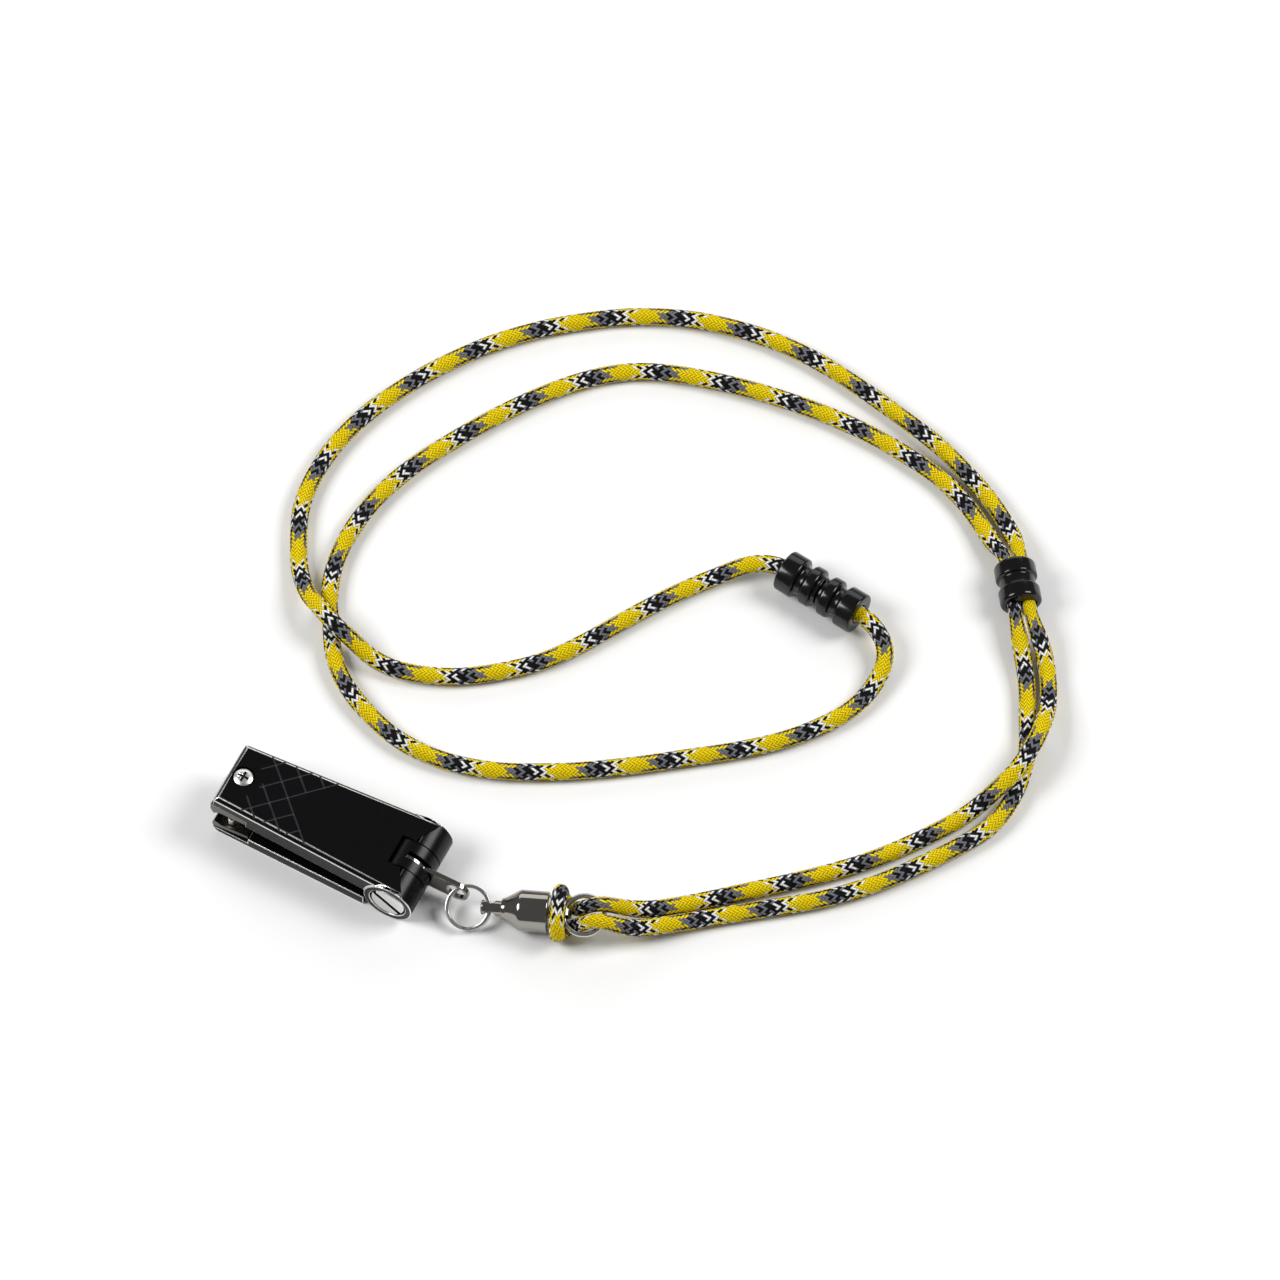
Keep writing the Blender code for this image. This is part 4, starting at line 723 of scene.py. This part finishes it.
def woven_tube(path, radii):
    """A grid rolled into a tube along the path, with every stitch of the braid standing proud."""
    cord = bpy.context.scene.cord
    columns = 2 * cord.carriers
    rows = len(path) - 1
    shape = bmesh.new()
    bmesh.ops.create_grid(shape, x_segments=columns, y_segments=rows, size=1.0, calc_uvs=False)
    mesh = bpy.data.meshes.new("woven_tube")
    shape.to_mesh(mesh)
    shape.free()
    flat = np.zeros(len(mesh.vertices) * 3)
    mesh.vertices.foreach_get("co", flat)
    flat = flat.reshape(-1, 3)
    column = np.rint((flat[:, 0] + 1) / 2 * columns).astype(int)
    row = np.rint((flat[:, 1] + 1) / 2 * rows).astype(int)
    ahead = np.gradient(path, axis=0)
    ahead /= np.linalg.norm(ahead, axis=1)[:, None]
    up = shown_side(path, ahead)
    across = np.cross(ahead, up)
    angle = 2 * math.pi * column / columns
    left, right = row / ROWS_PER_STITCH + column / 2, row / ROWS_PER_STITCH - column / 2
    over = (np.floor(left) - np.floor(right)) % WEAVE_REPEAT < OVER_BELOW
    offset = 2 * np.where(over, left % 1, right % 1) - 1
    radius = radii[row] - 2 * cord.relief * np.abs(offset) ** CROWN_POWER
    spots = path[row] + radius[:, None] * (np.cos(angle)[:, None] * up[row]
                                           + np.sin(angle)[:, None] * across[row])
    mesh.vertices.foreach_set("co", spots.ravel())
    corners = np.zeros(len(mesh.loops), dtype=int)
    mesh.loops.foreach_get("vertex_index", corners)
    wrap = np.stack([column / columns, row / rows], axis=1)
    layer = mesh.uv_layers.new(name="braid")
    layer.data.foreach_set("uv", wrap[corners].ravel())
    shape = bmesh.new()
    shape.from_mesh(mesh)
    bpy.data.meshes.remove(mesh)
    bmesh.ops.remove_doubles(shape, verts=shape.verts, dist=1e-7)
    rim = [edge for edge in shape.edges if edge.is_boundary]
    bmesh.ops.holes_fill(shape, edges=rim, sides=0)
    bmesh.ops.recalc_face_normals(shape, faces=shape.faces)
    return shape


class NIPPER_OT_cord(bpy.types.Operator):
    """Weave the neck cord from the connector's socket, through bead and hitch, to its plug"""
    bl_idname = "nipper.cord"
    bl_label = "Neck Cord"

    def execute(self, context):
        cord = context.scene.cord
        curve, run = smooth_curve(route())
        stitches = cord.carriers * round(run[-1] / cord.pitch)
        rows = ROWS_PER_STITCH * stitches
        spots = np.linspace(0, run[-1], rows + 1)
        path = np.stack([np.interp(spots, run, curve[:, axis]) for axis in range(3)], axis=1)
        shape = woven_tube(path, cord_radii(path))
        obj = piece("neck_cord", shape, "lanyard", [braided_nylon(stitches / cord.carriers)],
                    ("cord_strand_a", "cord_hitch", "cord_strand_b"), 180)
        sealed = finish("nylon")
        for name in ("cord_stopper_a", "cord_stopper_b"):
            frame["nodes"][name].data.materials.clear()
            frame["nodes"][name].data.materials.append(sealed)
        return {"FINISHED"}


# ---------------------------------------------------------------- bead and connector

class NIPPER_OT_bead(bpy.types.Operator):
    """Turn the slider bead and cut its flat slot for both strands"""
    bl_idname = "nipper.bead"
    bl_label = "Slider Bead"

    def execute(self, context):
        sizes = context.scene.fittings
        half = sizes.bead_length / 2
        waist = half - BEAD_FLANGE
        wide, narrow = sizes.bead_radius, sizes.bead_waist
        profile = [(half, 0), (half, wide), (waist, wide), (waist - BEAD_STEP, narrow),
                   (BEAD_STEP - waist, narrow), (-waist, wide), (-half, wide), (-half, 0)]
        place = lanyard_axes(BEAD_AT, BEAD_TURN)
        shape = turned(rounded(profile, BEAD_ROUNDING, closed=False, steps=6), place, closed=False)
        obj = piece("spool_bead", shape, "bead", ["acetal"], ("slider_bead",))
        bore = BEAD_CORD_RADIUS + BORE_PLAY
        side = BEAD_CORD_APART / 2
        reach = half + MM
        holes = [round_cutter(bore, place @ Vector((-reach, way, 0)), place @ Vector((reach, way, 0)))
                 for way in (-side, side)]
        middle = bmesh.new()
        bmesh.ops.create_cube(middle, size=1.0)
        bmesh.ops.scale(middle, vec=(2 * reach, 2 * side, 2 * bore - 0.02 * MM), verts=middle.verts)
        bmesh.ops.transform(middle, matrix=place, verts=middle.verts)
        carve(obj, *holes, cutter(middle))
        obj.data.shade_smooth()
        obj.data.set_sharp_from_angle(angle=math.radians(40))
        bevel = obj.modifiers.new("slot_edge", "BEVEL")
        bevel.width = 0.15 * MM
        bevel.segments = 2
        bevel.limit_method = "ANGLE"
        bevel.angle_limit = math.radians(50)
        return {"FINISHED"}


def connector_outline(half, wide, waist):
    """The stepped outside of either half, from its mouth to the split, as (along, radius)."""
    cap = half - CONNECTOR_CAP
    ridge = cap - CONNECTOR_GROOVE
    foot = ridge - CONNECTOR_RIDGE
    low = wide - 0.15 * MM
    return [(half, wide), (cap, wide), (cap - CONNECTOR_STEP, waist), (ridge, waist),
            (ridge - CONNECTOR_STEP, low), (foot + CONNECTOR_STEP, low), (foot, waist),
            (CONNECTOR_SPLIT, waist)]


class NIPPER_OT_connector(bpy.types.Operator):
    """Turn the two halves of the breakaway connector"""
    bl_idname = "nipper.connector"
    bl_label = "Breakaway Connector"

    def execute(self, context):
        sizes = context.scene.fittings
        half = sizes.connector_length / 2
        outer = connector_outline(half, sizes.connector_radius, CONNECTOR_WAIST)
        bore = context.scene.cord.diameter / 2 + BORE_PLAY
        shoulder = half - CORD_END_DEPTH
        floor = shoulder - CHAMBER_DEPTH
        sleeve = SPIGOT_RADIUS + SPIGOT_PLAY
        place = lanyard_axes(CONNECTOR_AT, CONNECTOR_TURN)
        back = place @ Matrix.Rotation(math.pi, 4, "Z")
        plug = outer + [(CONNECTOR_SPLIT, SPIGOT_RADIUS), (-SPIGOT_REACH, SPIGOT_RADIUS),
                        (-SPIGOT_REACH, CONNECTOR_VENT), (floor, CONNECTOR_VENT),
                        (floor, CONNECTOR_CHAMBER), (shoulder, CONNECTOR_CHAMBER), (shoulder, bore),
                        (half, bore)]
        socket = outer + [(CONNECTOR_SPLIT, sleeve), (SPIGOT_REACH, sleeve),
                          (SPIGOT_REACH + 0.1 * MM, CONNECTOR_CHAMBER),
                          (shoulder, CONNECTOR_CHAMBER), (shoulder, bore), (half, bore)]
        piece("plug_half", turned(rounded(plug, CONNECTOR_ROUNDING, steps=5), place), "connector_end",
              ["acetal"], ("connector_plug",), 60)
        piece("socket_half", turned(rounded(socket, CONNECTOR_ROUNDING, steps=5), back), "lanyard",
              ["acetal"], ("connector_socket",), 60)
        return {"FINISHED"}


# ---------------------------------------------------------------- swivel and rings

class NIPPER_OT_swivel(bpy.types.Operator):
    """Turn the swivel's shell and cap, and finish its two stems and its balls"""
    bl_idname = "nipper.swivel"
    bl_label = "Ball-Bearing Swivel"

    def execute(self, context):
        place = swivel_axes()
        nose = -SHELL_BARREL - SHELL_CONE
        floor = -SHELL_BARREL - 0.2 * MM
        shell = [(0, SHELL_RADIUS), (-SHELL_BARREL, SHELL_RADIUS),
                 (-SHELL_BARREL - 0.8 * MM, SHELL_RADIUS - 0.45 * MM),
                 (nose + 0.9 * MM, SHELL_MOUTH + 0.35 * MM), (nose, SHELL_MOUTH), (nose, SHELL_BORE),
                 (floor, SHELL_BORE), (floor, SHELL_INNER), (0, SHELL_INNER)]
        piece("swivel_housing", turned(rounded(shell, 0.45 * MM), place), "swivel_body",
              ["nickel"], ("swivel_shell",), 60)
        cap = [(0, END_CAP_RADIUS), (-END_CAP_THICK, END_CAP_RADIUS), (-END_CAP_THICK, END_CAP_HOLE),
               (0, END_CAP_HOLE)]
        piece("crimped_cap", turned(rounded(cap, 0.3 * MM), place), "swivel_body",
              ["nickel"], ("swivel_end_cap",), 60)
        dressed("swivel_front_stem", "front_shank", "swivel_front", ["nickel"], 0.12 * MM)
        dressed("swivel_rear_stem", "rear_eye", "lanyard", ["nickel"], 0.12 * MM)
        for name, obj in frame["nodes"].items():
            if name.startswith("swivel_ball"):
                obj.data.materials.clear()
                obj.data.materials.append(finish("screw"))
        return {"FINISHED"}


def coil(points, half_wide, half_tall, way, corner):
    """A wire of rounded oblong section swept through points; way is its flat side at each point."""
    shape = bmesh.new()
    section = rounded([(-half_wide, -half_tall), (half_wide, -half_tall), (half_wide, half_tall),
                       (-half_wide, half_tall)], corner, steps=3)
    rings = []
    for number, point in enumerate(points):
        ahead = (points[min(number + 1, len(points) - 1)] - points[max(number - 1, 0)]).normalized()
        out = way(number)
        out = (out - out.dot(ahead) * ahead).normalized()
        up = ahead.cross(out)
        ring = [shape.verts.new(point + out * spot[0] + up * spot[1]) for spot in section]
        rings.append([shape.edges.new(pair) for pair in zip(ring, ring[1:] + ring[:1])])
    for first, second in zip(rings, rings[1:]):
        bmesh.ops.bridge_loops(shape, edges=first + second)
    rim = [edge for edge in shape.edges if edge.is_boundary]
    bmesh.ops.holes_fill(shape, edges=rim, sides=0)
    bmesh.ops.recalc_face_normals(shape, faces=shape.faces)
    return shape


class NIPPER_OT_rings(bpy.types.Operator):
    """Wind the split ring and bend the closed ring that the cord is hitched to"""
    bl_idname = "nipper.rings"
    bl_label = "Rings"

    def execute(self, context):
        sizes = context.scene.fittings
        eye = swivel_axes() @ Vector((-FRONT_HOLE_AT, 0, 0))
        chord = eye - TANG_HOLE
        along = chord.normalized()
        aside = (RING_ASIDE - RING_ASIDE.dot(along) * along).normalized()
        reach = math.sqrt(sizes.ring_radius ** 2 - (chord.length / 2) ** 2)
        centre = (eye + TANG_HOLE) / 2 + aside * reach
        normal = along.cross(aside)
        count = 96

        def outward(number):
            angle = math.radians(75) + 2 * math.pi * number / count
            return math.cos(angle) * along + math.sin(angle) * aside

        points = [centre + sizes.ring_radius * outward(number)
                  + (number / count - 1) * RING_PITCH * normal for number in range(2 * count - 3)]
        shape = coil(points, RING_HALF_WIDE, RING_HALF_TALL, outward, 0.2 * MM)
        piece("wound_split_ring", shape, "ring", ["wire"], ("split_ring",), 60)

        place = swivel_axes(REAR_RING_TILT)
        turns = [math.radians(20 * step) for step in range(18)]
        shape = bmesh.new()
        wire = [shape.verts.new((sizes.rear_ring_radius + REAR_RING_WIRE * math.cos(turn), 0,
                                 REAR_RING_WIRE * math.sin(turn))) for turn in turns]
        edges = [shape.edges.new(pair) for pair in zip(wire, wire[1:] + wire[:1])]
        bmesh.ops.spin(shape, geom=wire + edges, cent=(0, 0, 0), axis=(0, 0, 1), angle=2 * math.pi,
                       steps=96, use_merge=True, use_duplicate=False)
        bmesh.ops.remove_doubles(shape, verts=shape.verts, dist=1e-6)
        bmesh.ops.recalc_face_normals(shape, faces=shape.faces)
        middle = Matrix.Translation((REAR_EYE_AT + sizes.rear_ring_radius, 0, 0))
        bmesh.ops.transform(shape, matrix=place @ middle, verts=shape.verts)
        piece("hitch_ring", shape, "lanyard", ["wire"], ("swivel_ring",), 60)
        return {"FINISHED"}


# ---------------------------------------------------------------- nipper

def in_recess(centre, reach, axis):
    """A test for the faces that a screwdriver's recess cuts into a screw head, within reach of its axis."""
    way = Vector(axis)

    def inside(face):
        spot = face.calc_center_median() - Vector(centre)
        depth = -spot.dot(way)
        return 0.12 * MM < depth < 1.2 * MM and (spot + depth * way).length < reach

    return inside


def in_groove(face):
    """True for the faces that the grip's grooves cut into the upper arm's top."""
    local = upper_arm_axes().inverted() @ face.calc_center_median()
    depth = BARREL_RADIUS - local.z
    on_grip = 3.0 * MM - ARM_LENGTH < local.x < -8 * MM
    off_screw = math.hypot(local.x - SCREW_AT, local.y) > SCREW_CLEAR
    square = not 0.4 < abs(face.normal.z) < 0.95       # neither a chamfer nor its end
    return on_grip and off_screw and square and 0.08 * MM < depth < GROOVE_DEPTH + 0.05 * MM


def kept_crisp(spot):
    """True where an arm's edge isn't broken: round the knuckles' notch and the jaw screw's recess."""
    local = upper_arm_axes().inverted() @ spot
    in_notch = local.x > -NOTCH_REACH - MM and abs(local.y) < NOTCH_HALF + 0.5 * MM
    return in_notch or math.hypot(local.x - SCREW_AT, local.y) < SCREW_CLEAR


class NIPPER_OT_arms(bpy.types.Operator):
    """Finish the two arms, with broken edges painted bright as a highlight, and cut grip grooves"""
    bl_idname = "nipper.arms"
    bl_label = "Arms"

    def execute(self, context):
        width = context.scene.nipper.edge_break
        # The broken edges of both arms get the painted highlight finish.
        dressed("upper_arm", "thumb_arm", "upper",
                ["anodised", "edge_highlight", "groove"], width, 1, in_groove, kept_crisp)
        dressed("lower_arm", "base_arm", "lower", ["anodised", "edge_highlight"], width, 1,
                crisp=kept_crisp)
        return {"FINISHED"}


class NIPPER_OT_jaws(bpy.types.Operator):
    """Finish the jaw inserts, their screws and the stop pin"""
    bl_idname = "nipper.jaws"
    bl_label = "Jaws"

    def execute(self, context):
        for source, name, body in (("upper_jaw", "upper_blade", "upper"),
                                   ("lower_jaw", "lower_blade", "lower")):
            dressed(source, name, body, ["tool_steel"], 0.06 * MM)
        up = Vector((math.sin(OPEN_ANGLE), 0, math.cos(OPEN_ANGLE)))
        head = upper_arm_axes() @ Vector((SCREW_AT, 0, BARREL_RADIUS + 0.15 * MM))
        # The faces of the cross recess get painted shade.
        dressed("upper_jaw_screw", "upper_cross_screw", "upper", ["screw", "recess"],
                0.08 * MM, pick=in_recess(head, 1.6 * MM, up))
        dressed("lower_jaw_screw", "lower_cross_screw", "lower", ["screw"], 0.08 * MM)
        dressed("stop_pin", "dowel_pin", "lower", ["screw"], 0.2 * MM)
        return {"FINISHED"}


class NIPPER_OT_hinge(bpy.types.Operator):
    """Finish the hinge's screw and nut and the tang between the knuckles"""
    bl_idname = "nipper.hinge"
    bl_label = "Hinge"

    def execute(self, context):
        axis = Vector(JOINTS["squeeze"]["pos_m"])
        for source, name, side in (("hinge_screw", "slotted_screw", -1),
                                   ("hinge_nut", "slotted_nut", 1)):
            low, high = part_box(source)
            head = Vector((axis.x, low[1] if side < 0 else high[1], axis.z))
            # The faces of the slot get painted shade.
            dressed(source, name, "lower", ["screw", "recess"], 0.1 * MM,
                    pick=in_recess(head, MM, (0, side, 0)))
        dressed("lanyard_tang", "polished_tang", "tang", ["nickel"], 0.15 * MM)
        return {"FINISHED"}


class NIPPER_OT_spring(bpy.types.Operator):
    """Wind the coil spring between the arms"""
    bl_idname = "nipper.spring"
    bl_label = "Spring"

    def execute(self, context):
        low, high = (Vector(corner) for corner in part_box("spring"))
        radius = (high.y - low.y) / 2 - SPRING_WIRE
        centre = Vector(((low.x + high.x) / 2, 0, 0))
        count = 32
        rise = high.z - low.z - 2 * SPRING_WIRE

        def outward(number):
            angle = 2 * math.pi * number / count
            return Vector((math.cos(angle), math.sin(angle), 0))

        last = SPRING_TURNS * count
        foot = low.z + SPRING_WIRE
        points = [centre + radius * outward(number) + Vector((0, 0, foot + rise * number / last))
                  for number in range(last + 1)]
        shape = coil(points, SPRING_WIRE, SPRING_WIRE, outward, 0.3 * MM)
        obj = piece("coil_spring", shape, "lower", ["wire"], ("spring",), 60)
        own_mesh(obj)
        return {"FINISHED"}


# ---------------------------------------------------------------- stage

def area_light(name, at, aim, size, watts):
    """A soft rectangular lamp at one point, aimed at another."""
    data = bpy.data.lights.new(name, "AREA")
    data.shape = "RECTANGLE"
    data.size, data.size_y = size
    data.energy = watts
    lamp = bpy.data.objects.new(name, data)
    bpy.context.scene.collection.objects.link(lamp)
    lamp.location = at
    lamp.rotation_euler = (Vector(aim) - Vector(at)).to_track_quat("-Z", "Y").to_euler()
    return lamp


class NIPPER_OT_stage(bpy.types.Operator):
    """Set the pale floor, the soft lights and the camera"""
    bl_idname = "nipper.stage"
    bl_label = "Stage"

    def execute(self, context):
        shape = bmesh.new()
        bmesh.ops.create_grid(shape, x_segments=1, y_segments=1, size=6.0)
        mesh = bpy.data.meshes.new("floor")
        shape.to_mesh(mesh)
        shape.free()
        floor = bpy.data.objects.new("floor", mesh)
        context.scene.collection.objects.link(floor)
        mesh.materials.append(principled("matt_white_board", linear("#F4F4F4"), 0.9)[0])

        aim = lanyard_point(69.6 * MM, 53.7 * MM, 0)
        camera = bpy.data.objects.new("camera", bpy.data.cameras.new("camera"))
        context.scene.collection.objects.link(camera)
        camera.data.sensor_width = SENSOR_WIDTH
        camera.data.lens = SENSOR_WIDTH * CAMERA_DISTANCE / VIEW_WIDTH
        away = lanyard_point(0, -math.cos(CAMERA_RISE), math.sin(CAMERA_RISE))
        camera.location = aim + away * CAMERA_DISTANCE
        camera.rotation_euler = (-away).to_track_quat("-Z", "Y").to_euler()
        context.scene.camera = camera

        left = area_light("left", aim + lanyard_point(-0.9, -0.1, 0.9), aim, (0.6, 0.6), 11)
        right = area_light("right", aim + lanyard_point(0.9, 0.1, 0.95), aim, (0.6, 0.6), 11)
        back = area_light("back", aim + lanyard_point(0.0, 1.3, 0.75), aim, (1.8, 0.8), 6)
        world = bpy.data.worlds.new("studio")
        world.use_nodes = True
        sky = world.node_tree.nodes["Background"]
        sky.inputs["Color"].default_value = (1, 1, 1, 1)
        sky.inputs["Strength"].default_value = 0.16
        context.scene.world = world
        context.scene.view_settings.view_transform = "Standard"
        return {"FINISHED"}


class NIPPER_PT_panel(bpy.types.Panel):
    """Sidebar panel that lists the pieces and their settings"""
    bl_idname = "NIPPER_PT_panel"
    bl_label = "Line Nipper"
    bl_space_type = "VIEW_3D"
    bl_region_type = "UI"
    bl_category = "Nipper"

    def draw(self, context):
        for operator in OPERATORS:
            self.layout.operator(operator.bl_idname)
        for settings in (context.scene.cord, context.scene.fittings, context.scene.nipper):
            for name in settings.bl_rna.properties.keys():
                if name not in ("rna_type", "name"):
                    self.layout.prop(settings, name)


OPERATORS = (NIPPER_OT_stage, NIPPER_OT_connector, NIPPER_OT_bead, NIPPER_OT_cord, NIPPER_OT_swivel,
             NIPPER_OT_rings, NIPPER_OT_arms, NIPPER_OT_jaws, NIPPER_OT_hinge, NIPPER_OT_spring)
CLASSES = (CordSettings, FittingSettings, NipperSettings, *OPERATORS, NIPPER_PT_panel)


def register():
    for cls in CLASSES:
        bpy.utils.register_class(cls)
    bpy.types.Scene.cord = PointerProperty(type=CordSettings)
    bpy.types.Scene.fittings = PointerProperty(type=FittingSettings)
    bpy.types.Scene.nipper = PointerProperty(type=NipperSettings)


def unregister():
    del bpy.types.Scene.nipper
    del bpy.types.Scene.fittings
    del bpy.types.Scene.cord
    for cls in reversed(CLASSES):
        bpy.utils.unregister_class(cls)


def main():
    register()
    bpy.ops.nipper.stage()
    bpy.ops.nipper.connector()
    bpy.ops.nipper.bead()
    bpy.ops.nipper.cord()
    bpy.ops.nipper.swivel()
    bpy.ops.nipper.rings()
    bpy.ops.nipper.arms()
    bpy.ops.nipper.jaws()
    bpy.ops.nipper.hinge()
    bpy.ops.nipper.spring()


if __name__ == "__main__":
    main()
